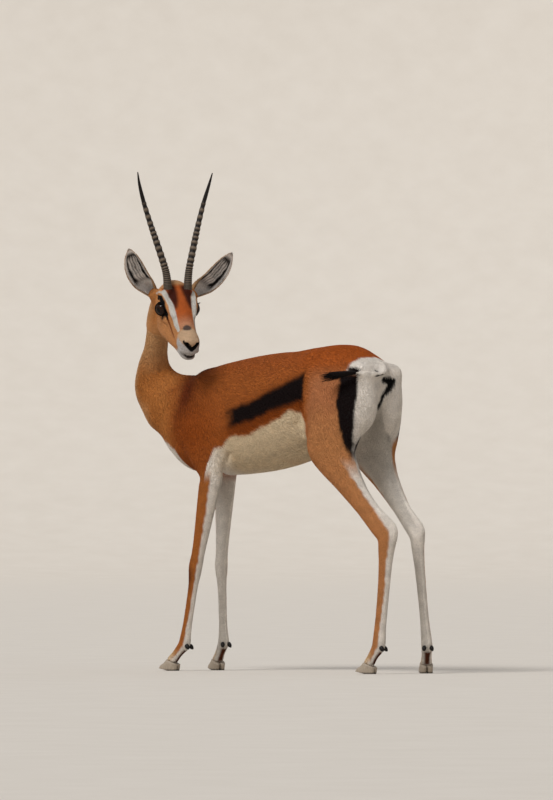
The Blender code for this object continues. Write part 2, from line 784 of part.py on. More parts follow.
def jaw_rings():
    rings = []
    for x, top, bottom, half in JAW_SIZES:
        middle = (top + bottom) / 2
        rings.append(((x, 0, middle), (0, 0, 1), top - middle, middle - bottom, half, 2.2))
    return rings


def eye_turn(side):
    """Turns +Z to the way an eye looks and +X to the opening's front corner, which lies low."""
    way = Vector((-0.60, side * 0.80, 0.10)).normalized()
    front = Vector((-0.86, 0.0, -0.42))
    front = (front - way * front.dot(way)).normalized()
    up = way.cross(front)
    return Matrix((front, up, way)).transposed().to_4x4()


def almond(turn, grow=0.0):
    """A point of the lids' opening, pointed at the front corner."""
    wide, high = LID_OPENING
    x = math.cos(turn)
    pinch = 1 - 0.22 * x * x
    return Vector((x * (wide + grow), math.sin(turn) * (high + grow) * pinch, 0))


def lid_ring(bm, side):
    """The swollen rim of both lids, a closed ring that hugs the eyeball."""
    frame = Matrix.Translation(mirrored(EYE_LOCAL, side)) @ eye_turn(side)
    rings = 28
    made = bmesh.ops.create_grid(bm, x_segments=rings, y_segments=8, size=1)["verts"]
    for vert in made:
        around = math.pi * (vert.co.x + 1)
        roll = math.pi * (vert.co.y + 1)
        flat = almond(around, LID_THICKNESS)
        depth = math.sqrt(max(EYE_RADIUS**2 - flat.length_squared * 0.8, 1e-6))
        outward = flat.normalized()
        centre = flat + Vector((0, 0, depth))
        spot = centre + (outward * math.cos(roll) + Vector((0, 0, 1)) * math.sin(roll)) * LID_THICKNESS
        vert.co = frame @ spot
    bmesh.ops.remove_doubles(bm, verts=made, dist=1e-6)


def mirrored(vector, side):
    return Vector((vector.x, vector.y * side, vector.z))


def build_head_flesh():
    """Skull, jaw, cheeks, orbits, lids, lips and nose fused in the head's own frame."""
    bm = bmesh.new()
    tube(bm, skull_rings(), 32, 52)
    tube(bm, jaw_rings(), 24, 40)
    ball(bm, NOSE_PLACE, NOSE_RADII)
    ball(bm, CROWN_PLACE, CROWN_RADII)
    for side in (-1, 1):
        for ridge in (CHEEK_LINE, BROW_LINE, ARCH_LINE):
            rings = []
            for x, y, z, tall, half in ridge:
                rings.append((mirrored(Vector((x, y, z)), side), (0, 0, 1), tall, tall, half, 2.0))
            tube(bm, rings, 16, 18)
        ball(bm, mirrored(EYE_LOCAL, side), [EYE_RADIUS + ORBIT_WALL] * 3)
        ball(bm, mirrored(EYE_LOCAL + TEMPLE_SHIFT, side), TEMPLE_RADII)
        ball(bm, mirrored(LIP_PLACE, side), LIP_RADII)
        lid_ring(bm, side)
        horn = upright_to_head(Vector((0, side * (HORN_SPREAD - BOSS_INSET), -BOSS_DEPTH)))
        ball(bm, horn, BOSS_RADII)
        ear = mirrored(EAR_ROOT_LOCAL, side)
        inner = ear - mirrored(Vector((0.004, 0.0180, 0.004)), side)
        outer = ear + ear_reach_local(side) * 0.11
        funnel = [
            (inner, (-1, 0, 0), 0.028, 0.026, 0.028, 2.0),
            (inner.lerp(outer, 0.5), (-1, 0, 0), 0.0205, 0.0205, 0.0205, 2.0),
            (outer, (-1, 0, 0), 0.0135, 0.0135, 0.0135, 2.0),
        ]
        tube(bm, funnel, 16, 10)
    inverse = head_matrix().inverted()
    stub = []
    for centre, way, throat, nape, half, square in neck_rings()[5:]:
        stub.append((inverse @ Vector(centre), inverse.to_3x3() @ Vector(way), throat, nape, half, square))
    stub.append((Vector((0.196, 0, 0.030)), stub[-1][1], 0.036, 0.034, 0.034, 2.0))
    tube(bm, stub, 28, 20)
    return finish_mesh(bm, "head_flesh")


def ear_reach_local(side):
    """From an ear's root to its tip, in the head's own frame."""
    out, ahead, up = EAR_REACH["right" if side > 0 else "left"]
    turn = (head_matrix().inverted() @ upright_matrix()).to_3x3()
    return turn @ Vector((-ahead, side * out, up))


def upright_to_head(point):
    """A point of the level frame, as seen in the head's own frame."""
    return head_matrix().inverted() @ upright_matrix() @ point


def carve_head(head):
    """Cuts the mouth line, the nostrils and the sockets into the finished head."""
    for side in (-1, 1):
        bm = bmesh.new()
        nostril = []
        for x, y, z, radius in NOSTRIL_LINE:
            place = mirrored(Vector((x, y, z)), side)
            nostril.append((place, (0, 0, 1), radius, radius, radius * 0.62, 2.0))
        tube(bm, nostril, 10, 10)
        cutter = finish_mesh(bm, "cutter")
        combine(head, cutter, "DIFFERENCE")
        drop(cutter)
        bm = bmesh.new()
        ball(bm, mirrored(EYE_LOCAL, side), [EYE_RADIUS + GAP] * 3)
        cutter = finish_mesh(bm, "cutter")
        combine(head, cutter, "DIFFERENCE")
        drop(cutter)
        cutter = lid_cutter(side)
        combine(head, cutter, "DIFFERENCE")
        drop(cutter)
    cutter = mouth_cutter()
    combine(head, cutter, "DIFFERENCE")
    drop(cutter)
    return largest_body(head)


def lid_cutter(side):
    """The almond opening between the lids, as a prism along the way the eye looks."""
    frame = Matrix.Translation(mirrored(EYE_LOCAL, side)) @ eye_turn(side)
    bm = bmesh.new()
    made = bmesh.ops.create_grid(bm, x_segments=24, y_segments=1, size=1)["verts"]
    for vert in made:
        place = almond(math.pi * (vert.co.x + 1))
        place.z = EYE_RADIUS * (0.3 if vert.co.y < 0 else 1.5)
        vert.co = frame @ place
    bmesh.ops.remove_doubles(bm, verts=made, dist=1e-6)
    rims = [e for e in bm.edges if e.is_boundary]
    bmesh.ops.holes_fill(bm, edges=rims, sides=0)
    return finish_mesh(bm, "cutter")


def mouth_cutter():
    """A thin sheet that follows the lips round the muzzle and up to the corners of the mouth."""
    bm = bmesh.new()
    rows = 18
    made = bmesh.ops.create_grid(bm, x_segments=rows, y_segments=2, size=1)["verts"]
    for vert in made:
        share = vert.co.x
        bow = abs(share) ** 1.6
        depth = MOUTH_OUTSIDE if vert.co.y > 0.5 else (-MOUTH_DEPTH if vert.co.y < -0.5 else 0)
        angle = share * math.pi / 2
        x = MOUTH_CORNER.x - math.cos(angle) * (MOUTH_CORNER.x - 0.004)
        y = math.sin(angle) ** 3 * 0.3 * MOUTH_CORNER.y + math.sin(angle) * 0.7 * MOUTH_CORNER.y
        out = Vector((-math.cos(angle), math.sin(angle), 0))
        vert.co = Vector((x, y, -0.0065 + 0.0075 * bow)) + out * depth
    bmesh.ops.solidify(bm, geom=bm.faces[:], thickness=MOUTH_GROOVE)
    return finish_mesh(bm, "cutter")


def horn_radius(share):
    """Radius of the ringed sheath at a share of its length."""
    count = len(HORN_LINE) - 1
    return spline([h[3] for h in HORN_LINE], share * count)


def build_horn(side):
    """A ringed horn, from inside the skull to its point, in the level frame of the head."""
    centres = [Vector((-h[2], side * (HORN_SPREAD + h[1]), h[0])) for h in HORN_LINE]
    last = len(centres) - 1
    rings = []
    knots = 2 * HORN_RINGS
    for knot in range(knots + 1):
        share = HORN_RINGED_SHARE * (knot / knots) ** 1.12
        swell = HORN_RING_HEIGHT * (1 - 0.5 * share) if knot % 2 else -0.0004
        rings.append((share, swell))
    for knot in range(1, 8):
        rings.append((HORN_RINGED_SHARE + (1 - HORN_RINGED_SHARE) * knot / 7, 0))
    bm = bmesh.new()
    sides = 10
    made = bmesh.ops.create_grid(bm, x_segments=sides, y_segments=len(rings) - 1, size=1)["verts"]
    for vert in made:
        turn = math.pi * (vert.co.x + 1)
        knot = round((vert.co.y + 1) / 2 * (len(rings) - 1))
        share, swell = rings[knot]
        centre = spline(centres, share * last)
        along = (spline(centres, min(share + 0.01, 1) * last) - spline(centres, max(share - 0.01, 0) * last))
        along.normalize()
        front = Vector((-1, 0, 0)) + along * along.x
        front.normalize()
        across = along.cross(front)
        radius = horn_radius(share)
        reach = radius + swell * (0.65 + 0.35 * math.cos(turn))
        vert.co = centre + front * math.cos(turn) * reach * 1.06 + across * math.sin(turn) * reach * 0.94
    bmesh.ops.remove_doubles(bm, verts=made, dist=1e-6)
    rims = [e for e in bm.edges if e.is_boundary]
    bmesh.ops.holes_fill(bm, edges=rims, sides=0)
    bm.transform(upright_matrix())
    return finish_mesh(bm, "horn_" + ("right" if side > 0 else "left"))


def build_ear(side):
    """A cupped ear: a leaf with a thickness, rolled to a tube at its root."""
    name = "right" if side > 0 else "left"
    root = upright_matrix().inverted() @ head_matrix() @ mirrored(EAR_ROOT_LOCAL, side)
    out, ahead, up = EAR_REACH[name]
    reach = Vector((-ahead, side * out, up))
    tip = root + reach
    along = reach.normalized()
    facing = Vector((-0.86, side * EAR_OPENING[name], 0.10))
    facing = (facing - along * facing.dot(along)).normalized()
    across = along.cross(facing)
    shares = [s[0] for s in EAR_SIZES]
    widths = [s[1] for s in EAR_SIZES]
    bm = bmesh.new()
    made = bmesh.ops.create_grid(bm, x_segments=16, y_segments=11, size=1)["verts"]
    for vert in made:
        share = (vert.co.y + 1) / 2
        share = share * (1 + 0.16 * (1 - share))
        place = 0
        while place < len(shares) - 2 and share > shares[place + 1]:
            place += 1
        local = (share - shares[place]) / (shares[place + 1] - shares[place])
        half = spline(widths, place + min(local, 1))
        spread = math.radians(152 - 92 * min(share / 0.45, 1))
        radius = half / math.sin(min(spread, math.pi / 2))
        thick = EAR_THICKNESS * (1 - 0.6 * share) / 2
        around = (vert.co.x + 1) / 2
        outer = around < 0.5
        run = around * 4 - 1 if outer else 3 - around * 4
        angle = spread * max(min(run, 1), -1)
        size = radius + (thick if outer else -thick)
        if abs(run) > 0.999:
            size = radius
        lift = radius * math.cos(spread)
        core = root + along * reach.length * share
        core -= across * side * EAR_BULGE * math.sin(share * math.pi)
        vert.co = core + across * math.sin(angle) * size - facing * (math.cos(angle) * size - lift)
    bmesh.ops.remove_doubles(bm, verts=made, dist=1e-6)
    rims = [e for e in bm.edges if e.is_boundary]
    bmesh.ops.holes_fill(bm, edges=rims, sides=0)
    bm.transform(upright_matrix())
    return finish_mesh(bm, "ear_" + name)


def build_eye(side):
    bm = bmesh.new()
    ball(bm, (0, 0, 0), [EYE_RADIUS] * 3)
    bm.transform(head_matrix() @ Matrix.Translation(mirrored(EYE_LOCAL, side)))
    return finish_mesh(bm, "eye_" + ("right" if side > 0 else "left"))


def build_tail():
    rings = []
    for x, y, z, radius in TAIL_LINE:
        rings.append(((x, y, z), (0, 0, 1), radius, radius, radius, 2.0))
    bm = bmesh.new()
    tube(bm, rings, 10, 18)
    return finish_mesh(bm, "tail")


def build_tuft(tail):
    """The dark end of the tail: tapered locks that fan out from the rod's end, fused at the root."""
    whole = None
    way = (TUFT_TIP - TUFT_ROOT).normalized()
    across = way.cross(Vector((0, 0, 1))).normalized()
    over = across.cross(way)
    for lock in range(TUFT_LOCKS):
        turn = lock * 2.399963
        spread = math.sqrt((lock + 0.5) / TUFT_LOCKS)
        aside = (across * math.cos(turn) + over * math.sin(turn)) * spread
        length = (TUFT_TIP - TUFT_ROOT).length * (0.82 + 0.18 * math.cos(lock * 1.7))
        rings = []
        for share, swell in ((0, 0.9), (0.3, 1.0), (0.65, 0.72), (0.88, 0.34), (1.0, 0.08)):
            place = TUFT_ROOT + way * length * share + aside * TUFT_HALF_WIDTH * (0.4 + 0.9 * share)
            place += Vector((0, 0, -0.010)) * share * share
            rings.append((place, over, 0.0046 * swell, 0.0046 * swell, 0.0040 * swell, 2.0))
        bm = bmesh.new()
        tube(bm, rings, 6, 5)
        piece = finish_mesh(bm, "lock")
        if whole is None:
            whole = piece
        else:
            combine(whole, piece, "UNION")
            drop(piece)
    whole.name = "tail_tuft"
    cutter = grown(tail, GAP)
    combine(whole, cutter, "DIFFERENCE")
    drop(cutter)
    return largest_body(whole)


def lop(obj, joints, cut, reach):
    """Cuts off what the fused flesh has of one leg below its cut, and closes it there."""
    point, way = cut_plane(joints, cut)
    bm = bmesh.new()
    bm.from_mesh(obj.data)
    near = []
    for face in bm.faces:
        middle = face.calc_center_median() - point
        lowest = min((v.co - point).dot(way) for v in face.verts)
        if abs(middle.x) < reach[0] and abs(middle.y) < reach[1] and lowest < 0.001:
            near.append(face)
    edges = list({e for f in near for e in f.edges})
    verts = list({v for f in near for v in f.verts})
    cut_made = bmesh.ops.bisect_plane(
        bm,
        geom=verts + edges + near,
        dist=1e-6,
        plane_co=point + way * GAP / 2,
        plane_no=-way,
        clear_outer=True,
    )
    rim = [e for e in cut_made["geom_cut"] if isinstance(e, bmesh.types.BMEdge)]
    bmesh.ops.holes_fill(bm, edges=rim, sides=0)
    three_sided(bm)
    bm.to_mesh(obj.data)
    bm.free()


def dress(obj, coat, smooth=True):
    """Gives a finished node its material and moves it to where the floor's middle is the origin."""
    obj.data.materials.clear()
    obj.data.materials.append(coat)
    for face in obj.data.polygons:
        face.material_index = 0
        face.use_smooth = smooth
    obj.data.transform(Matrix.Translation(STANCE_SHIFT))
    return obj


def main():
    clear_scene()
    hide = material("short_coat", (0.52, 0.27, 0.12), 0.85)
    pale = material("pale_coat", (0.62, 0.42, 0.26), 0.85)
    dark = material("dark_hair", (0.03, 0.022, 0.018), 0.8)
    horny = material("horn_sheath", (0.06, 0.045, 0.035), 0.5)
    glassy = material("eye_glass", (0.012, 0.008, 0.006), 0.08)
    done = []

    flesh = fused(build_flesh(), BODY_VOXEL, 5, BODY_FACES, 36, body_calm)
    legs = (
        ("fore_left", LEFT_FORE, FORE_SIZES, FORE_CUT),
        ("fore_right", RIGHT_FORE, FORE_SIZES, FORE_CUT),
        ("hind_left", LEFT_HIND, HIND_SIZES, HIND_CUT),
        ("hind_right", RIGHT_HIND, HIND_SIZES, HIND_CUT),
    )
    for leg, joints, sizes, cut in legs:
        lop(flesh, joints, cut, (0.062, 0.045) if leg.startswith("fore") else (0.14, 0.055))
        raw = leg_node(leg, joints, sizes, cut)
        point, way = cut_plane(joints, cut)
        upper = sliced(raw, point, way, False, "upper")
        drop(raw)
        point, way = coronet_plane(leg, joints)
        free = largest_body(sliced(upper, point, way, True, "leg_" + leg))
        drop(upper)
        for claw in build_dewclaws(leg, joints, free):
            done.append(dress(claw, horny))
        done.append(dress(free, pale))
        for claw in build_claws(leg, joints):
            done.append(dress(claw, horny))

    neck_up = sliced(flesh, NECK_CUT_LOW, NECK_CUT_LOW_NORMAL, True, "neck_up")
    neck = largest_body(sliced(neck_up, NECK_CUT_HIGH, NECK_CUT_HIGH_NORMAL, False, "neck"))
    drop(neck_up)
    torso = largest_body(sliced(flesh, NECK_CUT_LOW, NECK_CUT_LOW_NORMAL, False, "torso"))
    drop(flesh)

    head_raw = fused(build_head_flesh(), HEAD_VOXEL, 3, HEAD_FACES, 20, head_calm)
    carve_head(head_raw)
    head_raw.data.transform(head_matrix())
    head = largest_body(sliced(head_raw, NECK_CUT_HIGH, NECK_CUT_HIGH_NORMAL, True, "head"))
    drop(head_raw)

    cutter = grown(head, GAP)
    for side in (-1, 1):
        for build in (build_horn, build_ear):
            part = build(side)
            combine(part, cutter, "DIFFERENCE")
            largest_body(part)
            done.append(dress(part, horny if build is build_horn else pale))
        done.append(dress(build_eye(side), glassy))
    drop(cutter)

    tail = build_tail()
    tuft = build_tuft(tail)
    cutter = grown(torso, GAP)
    combine(tail, cutter, "DIFFERENCE")
    combine(tuft, cutter, "DIFFERENCE")
    drop(cutter)
    done.append(dress(largest_body(tail), pale))
    done.append(dress(largest_body(tuft), dark))
    for obj in (torso, neck, head):
        done.append(dress(obj, hide))


main()
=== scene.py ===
"""A life-size Grant's gazelle doe for a museum hall.

Skin, coat, eyes, ears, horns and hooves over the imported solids.

Places are in the animal's own frame, in metres: she faces -X, her left side is -Y and up is +Z.
STANCE_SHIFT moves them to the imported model's frame, whose floor is z = 0.
"""

import math
import random

import bmesh
import bpy
import numpy as np
from bpy.props import FloatProperty, FloatVectorProperty, IntProperty, PointerProperty
from mathutils import Matrix, Vector
from mathutils.kdtree import KDTree


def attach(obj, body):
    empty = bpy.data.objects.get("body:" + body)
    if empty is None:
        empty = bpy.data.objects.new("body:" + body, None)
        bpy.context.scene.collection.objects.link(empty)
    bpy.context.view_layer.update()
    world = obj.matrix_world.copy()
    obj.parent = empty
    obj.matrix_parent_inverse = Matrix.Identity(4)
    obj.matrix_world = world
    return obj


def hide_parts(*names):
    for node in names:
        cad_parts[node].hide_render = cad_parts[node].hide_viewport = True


bl_info = {
    "name": "Museum gazelle",
    "version": (1, 0, 0),
    "blender": (4, 5, 0),
    "location": "3D View > Sidebar > Gazelle",
    "description": "Dresses the packed gazelle with skin, coat, eyes, horns and hooves",
    "category": "Object",
}

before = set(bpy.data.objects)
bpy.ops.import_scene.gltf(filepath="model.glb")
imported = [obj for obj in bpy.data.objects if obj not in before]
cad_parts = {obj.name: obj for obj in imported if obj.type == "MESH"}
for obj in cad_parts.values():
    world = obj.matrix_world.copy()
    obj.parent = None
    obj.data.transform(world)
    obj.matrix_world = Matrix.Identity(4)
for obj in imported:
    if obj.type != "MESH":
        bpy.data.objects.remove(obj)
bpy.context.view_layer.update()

STANCE_SHIFT = Vector((0.059, 0.0625, 0.0))
FLESH_NODES = (
    "torso",
    "neck",
    "head",
    "leg_fore_left",
    "leg_fore_right",
    "leg_hind_left",
    "leg_hind_right",
    "tail",
)

# Joints of each leg from the top down
LEGS = {
    "fore_left": (
        (-0.290, -0.070, 0.660),
        (-0.238, -0.076, 0.525),
        (-0.300, -0.070, 0.284),
        (-0.344, -0.071, 0.071),
        (-0.380, -0.080, 0.026),
    ),
    "fore_right": (
        (-0.325, 0.070, 0.660),
        (-0.320, 0.065, 0.525),
        (-0.327, 0.056, 0.284),
        (-0.318, 0.055, 0.075),
        (-0.350, 0.066, 0.026),
    ),
    "hind_left": (
        (0.215, -0.056, 0.770),
        (0.190, -0.088, 0.598),
        (0.389, -0.070, 0.362),
        (0.357, -0.070, 0.073),
        (0.333, -0.080, 0.026),
    ),
    "hind_right": (
        (0.215, 0.056, 0.770),
        (0.180, 0.092, 0.598),
        (0.374, 0.062, 0.360),
        (0.400, 0.073, 0.073),
        (0.378, 0.095, 0.026),
    ),
}
TOE_OUT = {"fore_left": 14, "fore_right": 20, "hind_left": 16, "hind_right": 38}

# Upper neck: (centre, throat side, nape side, half width, turn of the throat)
NECK_SIZES = (
    ((-0.443, -0.0695, 0.902), 0.040, 0.042, 0.0325, 118),
    ((-0.424, -0.077, 0.945), 0.046, 0.045, 0.0370, 140),
    ((-0.396, -0.084, 0.985), 0.044, 0.040, 0.0380, 153),
)
# Middle of the neck from the head down to the chest
NECK_LINE = ((-0.42, -0.078, 0.96), (-0.446, -0.072, 0.902), (-0.469, -0.063, 0.858))
NECK_LINE += ((-0.488, -0.043, 0.812), (-0.478, -0.02, 0.766))
NECK_CUT = Vector((-0.4365, -0.0740, 0.912))
NECK_CUT_NORMAL = Vector((0.48, -0.17, 0.86)).normalized()

# Head in its own frame: nose tip at x = 0, back of the skull at +X, mouth line near z = 0
HEAD_PITCH = 32
HEAD_TURN = 151.5
HORN_ROOT_LOCAL = Vector((0.190, 0.0, 0.092))
HORN_ROOT_PLACE = Vector((-0.3255, -0.1150, 1.0225))
# Skull: (distance behind the nose tip, top, bottom, half width, share of height at the widest, squareness)
SKULL_SIZES = (
    (0.000, 0.0300, 0.0060, 0.0110, 0.50, 2.0), (0.006, 0.0370, -0.0050, 0.0200, 0.50, 2.2),
    (0.016, 0.0430, -0.0090, 0.0265, 0.45, 2.4), (0.032, 0.0465, -0.0100, 0.0295, 0.42, 2.4),
    (0.055, 0.0510, -0.0110, 0.0290, 0.42, 2.3), (0.080, 0.0580, -0.0130, 0.0310, 0.45, 2.3),
    (0.105, 0.0670, -0.0160, 0.0345, 0.50, 2.3), (0.130, 0.0780, -0.0200, 0.0380, 0.55, 2.4),
    (0.155, 0.0875, -0.0240, 0.0410, 0.60, 2.5), (0.180, 0.0930, -0.0260, 0.0440, 0.62, 2.4),
    (0.205, 0.0920, -0.0240, 0.0435, 0.60, 2.2), (0.230, 0.0870, -0.0140, 0.0400, 0.55, 2.1),
    (0.252, 0.0700, 0.0020, 0.0300, 0.55, 2.0), (0.266, 0.0500, 0.0200, 0.0150, 0.50, 2.0),
)
# Lower jaw: (distance behind the nose tip, top, bottom, half width)
JAW_SIZES = (
    (0.004, -0.0080, -0.0180, 0.0095), (0.010, -0.0040, -0.0240, 0.0165),
    (0.022, -0.0040, -0.0270, 0.0205), (0.050, -0.0060, -0.0290, 0.0225),
    (0.085, 0.0000, -0.0345, 0.0260), (0.125, 0.0100, -0.0420, 0.0325),
    (0.160, 0.0200, -0.0500, 0.0375), (0.190, 0.0300, -0.0500, 0.0370),
    (0.212, 0.0350, -0.0400, 0.0320), (0.228, 0.0300, -0.0220, 0.0200),
)
# Ridges of one side of the head: (x, y, z, half height, half thickness)
HEAD_RIDGES = {
    "cheek": (
        (0.040, 0.0120, -0.0100, 0.010, 0.0080),
        (0.085, 0.0190, -0.0100, 0.018, 0.0125),
        (0.125, 0.0240, -0.0080, 0.025, 0.0155),
        (0.165, 0.0265, -0.0060, 0.034, 0.0165),
        (0.200, 0.0240, -0.0020, 0.034, 0.0155),
        (0.224, 0.0170, 0.0060, 0.024, 0.0120),
    ),
    "brow": (
        (0.100, 0.0240, 0.0520, 0.008, 0.0080),
        (0.126, 0.0320, 0.0600, 0.011, 0.0100),
        (0.152, 0.0390, 0.0680, 0.011, 0.0110),
        (0.178, 0.0410, 0.0700, 0.013, 0.0120),
        (0.206, 0.0380, 0.0700, 0.016, 0.0120),
    ),
    "arch": (
        (0.100, 0.0220, 0.0300, 0.010, 0.0080),
        (0.128, 0.0320, 0.0260, 0.011, 0.0090),
        (0.155, 0.0390, 0.0230, 0.010, 0.0090),
        (0.184, 0.0400, 0.0260, 0.012, 0.0090),
        (0.212, 0.0360, 0.0360, 0.016, 0.0090),
    ),
}
BOSS_INSET = 0.002
BOSS_DEPTH = 0.018
BOSS_RADII = (0.0190, 0.0180, 0.0200)
NOSE_PLACE = (0.012, 0, 0.0290)
NOSE_RADII = (0.0130, 0.0230, 0.0130)
CROWN_PLACE = (0.206, 0, 0.0800)
CROWN_RADII = (0.034, 0.034, 0.018)
LIP_PLACE = Vector((0.024, 0.0150, 0.0020))
LIP_RADII = (0.0200, 0.0140, 0.0100)
EYE_LOCAL = Vector((0.1600, 0.0430, 0.0445))
EYE_WAY = Vector((-0.60, 0.80, 0.10)).normalized()
ORBIT_WALL = 0.0033
TEMPLE_SHIFT = Vector((0.016, -0.010, 0.004))
TEMPLE_RADII = (0.0300, 0.0230, 0.0260)
# Nostril from the nose pad inwards: (x, y, z, radius)
NOSTRIL_LINE = (
    (-0.0025, 0.0040, 0.0180, 0.0016), (-0.0010, 0.0075, 0.0230, 0.0036),
    (0.0035, 0.0130, 0.0290, 0.0044), (0.0100, 0.0165, 0.0300, 0.0034),
    (0.0160, 0.0170, 0.0280, 0.0014),
)
MOUTH_CORNER = Vector((0.058, 0.0250, 0.0000))

# Horn core in an upright head: (height, outwards, forwards, radius)
HORN_LINE = (
    (-0.014, -0.003, 0.004, 0.0125), (0.000, 0.000, 0.000, 0.0118), (0.030, 0.0022, -0.002, 0.0106),
    (0.060, 0.0080, -0.007, 0.0097), (0.123, 0.0255, -0.020, 0.0089),
    (0.168, 0.0385, -0.029, 0.0078), (0.224, 0.0548, -0.035, 0.0063),
    (0.273, 0.0688, -0.031, 0.0042), (0.308, 0.0768, -0.023, 0.0015),
)
HORN_SPREAD = 0.0280
HORN_RINGED_SHARE = 0.76

# Ear: (share of its length, half width)
EAR_SIZES = (
    (0.00, 0.0130), (0.12, 0.0185), (0.30, 0.0260), (0.50, 0.0280), (0.68, 0.0252), (0.84, 0.0178),
    (0.95, 0.0080), (1.00, 0.0015),
)
EAR_THICKNESS = 0.0030
EAR_BULGE = 0.0120
EAR_REACH = {"left": (0.096, 0.058, 0.118), "right": (0.089, 0.058, 0.126)}
EAR_OPENING = {"left": 0.30, "right": 0.55}
EAR_ROOT_LOCAL = Vector((0.2150, 0.0520, 0.0480))

TUFT_ROOT = Vector((0.301, -0.095, 0.790))
TUFT_TIP = Vector((0.228, -0.158, 0.786))

# Cloven hoof: (height, back shift, front, back, half width)
CLAW_SIZES = (
    (0.0000, 0.0000, 0.0310, 0.0200, 0.0074), (0.0045, 0.0012, 0.0285, 0.0205, 0.0082),
    (0.0160, 0.0055, 0.0200, 0.0190, 0.0084), (0.0420, 0.0150, 0.0110, 0.0130, 0.0078),
)
CLAW_APART = 0.0089
CLAW_AHEAD = 0.004
CORONET_LEVEL = 0.0245
CORONET_SLOPE = 24
DEWCLAW_LENGTH = 0.0150
DEWCLAW_RADIUS = 0.0062


def linear(code):
    """An sRGB hex colour as linear red, green and blue."""
    parts = [int(code[i : i + 2], 16) / 255 for i in (1, 3, 5)]
    return tuple(c / 12.92 if c <= 0.04045 else ((c + 0.055) / 1.055) ** 2.4 for c in parts)


def spline(points, t):
    """A smooth value at t, from 0 to the last point's index, through numbers or vectors."""
    last = len(points) - 1
    i = min(int(t), last - 1)
    f = t - i
    a = points[max(i - 1, 0)]
    b = points[i]
    c = points[i + 1]
    d = points[min(i + 2, last)]
    near = (c - a) * 0.5
    far = (d - b) * 0.5
    f2 = f * f
    f3 = f2 * f
    return b * (2 * f3 - 3 * f2 + 1) + near * (f3 - 2 * f2 + f) + c * (3 * f2 - 2 * f3) + far * (f3 - f2)


def bent(value, squareness):
    return math.copysign(abs(value) ** (2 / squareness), value)


def tube(bm, rings, sides, steps):
    """A closed skin through rings of (centre, front way, front, back, side, squareness)."""
    centres = [Vector(r[0]) for r in rings]
    ways = [Vector(r[1]).normalized() for r in rings]
    sizes = [Vector(r[2:5]) for r in rings]
    squares = [r[5] for r in rings]
    last = len(rings) - 1
    made = bmesh.ops.create_grid(bm, x_segments=sides, y_segments=steps, size=1)["verts"]
    for vert in made:
        turn = math.pi * (vert.co.x + 1)
        t = min(max((vert.co.y + 1) / 2, 0), 1) * last
        centre = spline(centres, t)
        ahead = spline(centres, min(t + 0.02, last)) - spline(centres, max(t - 0.02, 0))
        along = ahead.normalized()
        front = spline(ways, t)
        front = (front - along * front.dot(along)).normalized()
        side = along.cross(front)
        size = spline(sizes, t)
        square = spline(squares, t)
        reach = size.x if math.cos(turn) > 0 else size.y
        vert.co = (
            centre
            + front * bent(math.cos(turn), square) * reach
            + side * bent(math.sin(turn), square) * size.z
        )
    bmesh.ops.remove_doubles(bm, verts=made, dist=1e-6)
    live = [v for v in made if v.is_valid]
    rims = [e for e in {e for v in live for e in v.link_edges} if e.is_boundary]
    bmesh.ops.holes_fill(bm, edges=rims, sides=0)
    return live


def ball(bm, centre, radii, sides=28):
    """A rounded mass with its own half sizes."""
    place = Matrix.Translation(Vector(centre)) @ Matrix.Diagonal((*radii, 1))
    bmesh.ops.create_uvsphere(bm, u_segments=sides, v_segments=sides // 2, radius=1, matrix=place)


def turned(axis, degrees):
    return Matrix.Rotation(math.radians(degrees), 4, axis)


def mirrored(vector, side):
    return Vector((vector[0], vector[1] * side, vector[2]))


def head_matrix():
    """Places the head's own frame in the animal's: nose down by the pitch, turned back over the left side."""
    turn = turned("Z", HEAD_TURN) @ turned("Y", -HEAD_PITCH)
    shift = HORN_ROOT_PLACE - turn.to_3x3() @ HORN_ROOT_LOCAL
    return Matrix.Translation(shift) @ turn


def upright_matrix():
    """A frame at the horns' root that faces as the head does but stays level."""
    return Matrix.Translation(HORN_ROOT_PLACE) @ turned("Z", HEAD_TURN)


def through(points, matrix):
    """Points taken through a matrix."""
    matrix = np.array(matrix)
    return points @ matrix[:3, :3].T + matrix[:3, 3]


def in_head(points):
    """Points of the animal's frame in the head's own frame."""
    return through(points, head_matrix().inverted())


def finished(bm, name, *coats):
    """Turns a bmesh of the animal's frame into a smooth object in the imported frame."""
    bmesh.ops.recalc_face_normals(bm, faces=bm.faces)
    bm.transform(Matrix.Translation(STANCE_SHIFT))
    mesh = bpy.data.meshes.new(name)
    bm.to_mesh(mesh)
    bm.free()
    return placed(mesh, name, *coats)


def placed(mesh, name, *coats):
    for coat in coats:
        mesh.materials.append(coat)
    mesh.shade_smooth()
    obj = bpy.data.objects.new(name, mesh)
    bpy.context.scene.collection.objects.link(obj)
    return obj


def worn(obj, slot, *nodes):
    """Attaches a finished piece to the root and hides the imported parts that it replaces."""
    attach(obj, "root")
    if nodes:
        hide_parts(*nodes)
    return obj


def settled(obj):
    """An object's mesh with its modifiers applied."""
    bpy.context.view_layer.update()
    graph = bpy.context.evaluated_depsgraph_get()
    mesh = bpy.data.meshes.new_from_object(obj.evaluated_get(graph))
    obj.modifiers.clear()
    obj.data = mesh
    return mesh


def fused(bm, voxel):
    """Fuses the overlapping skins of a bmesh into one closed mesh of small squares."""
    mesh = bpy.data.meshes.new("fused")
    bm.to_mesh(mesh)
    bm.free()
    obj = bpy.data.objects.new("fused", mesh)
    bpy.context.scene.collection.objects.link(obj)
    melt = obj.modifiers.new("fuse", "REMESH")
    melt.mode = "VOXEL"
    melt.voxel_size = voxel
    mesh = settled(obj)
    bpy.data.objects.remove(obj)
    return mesh


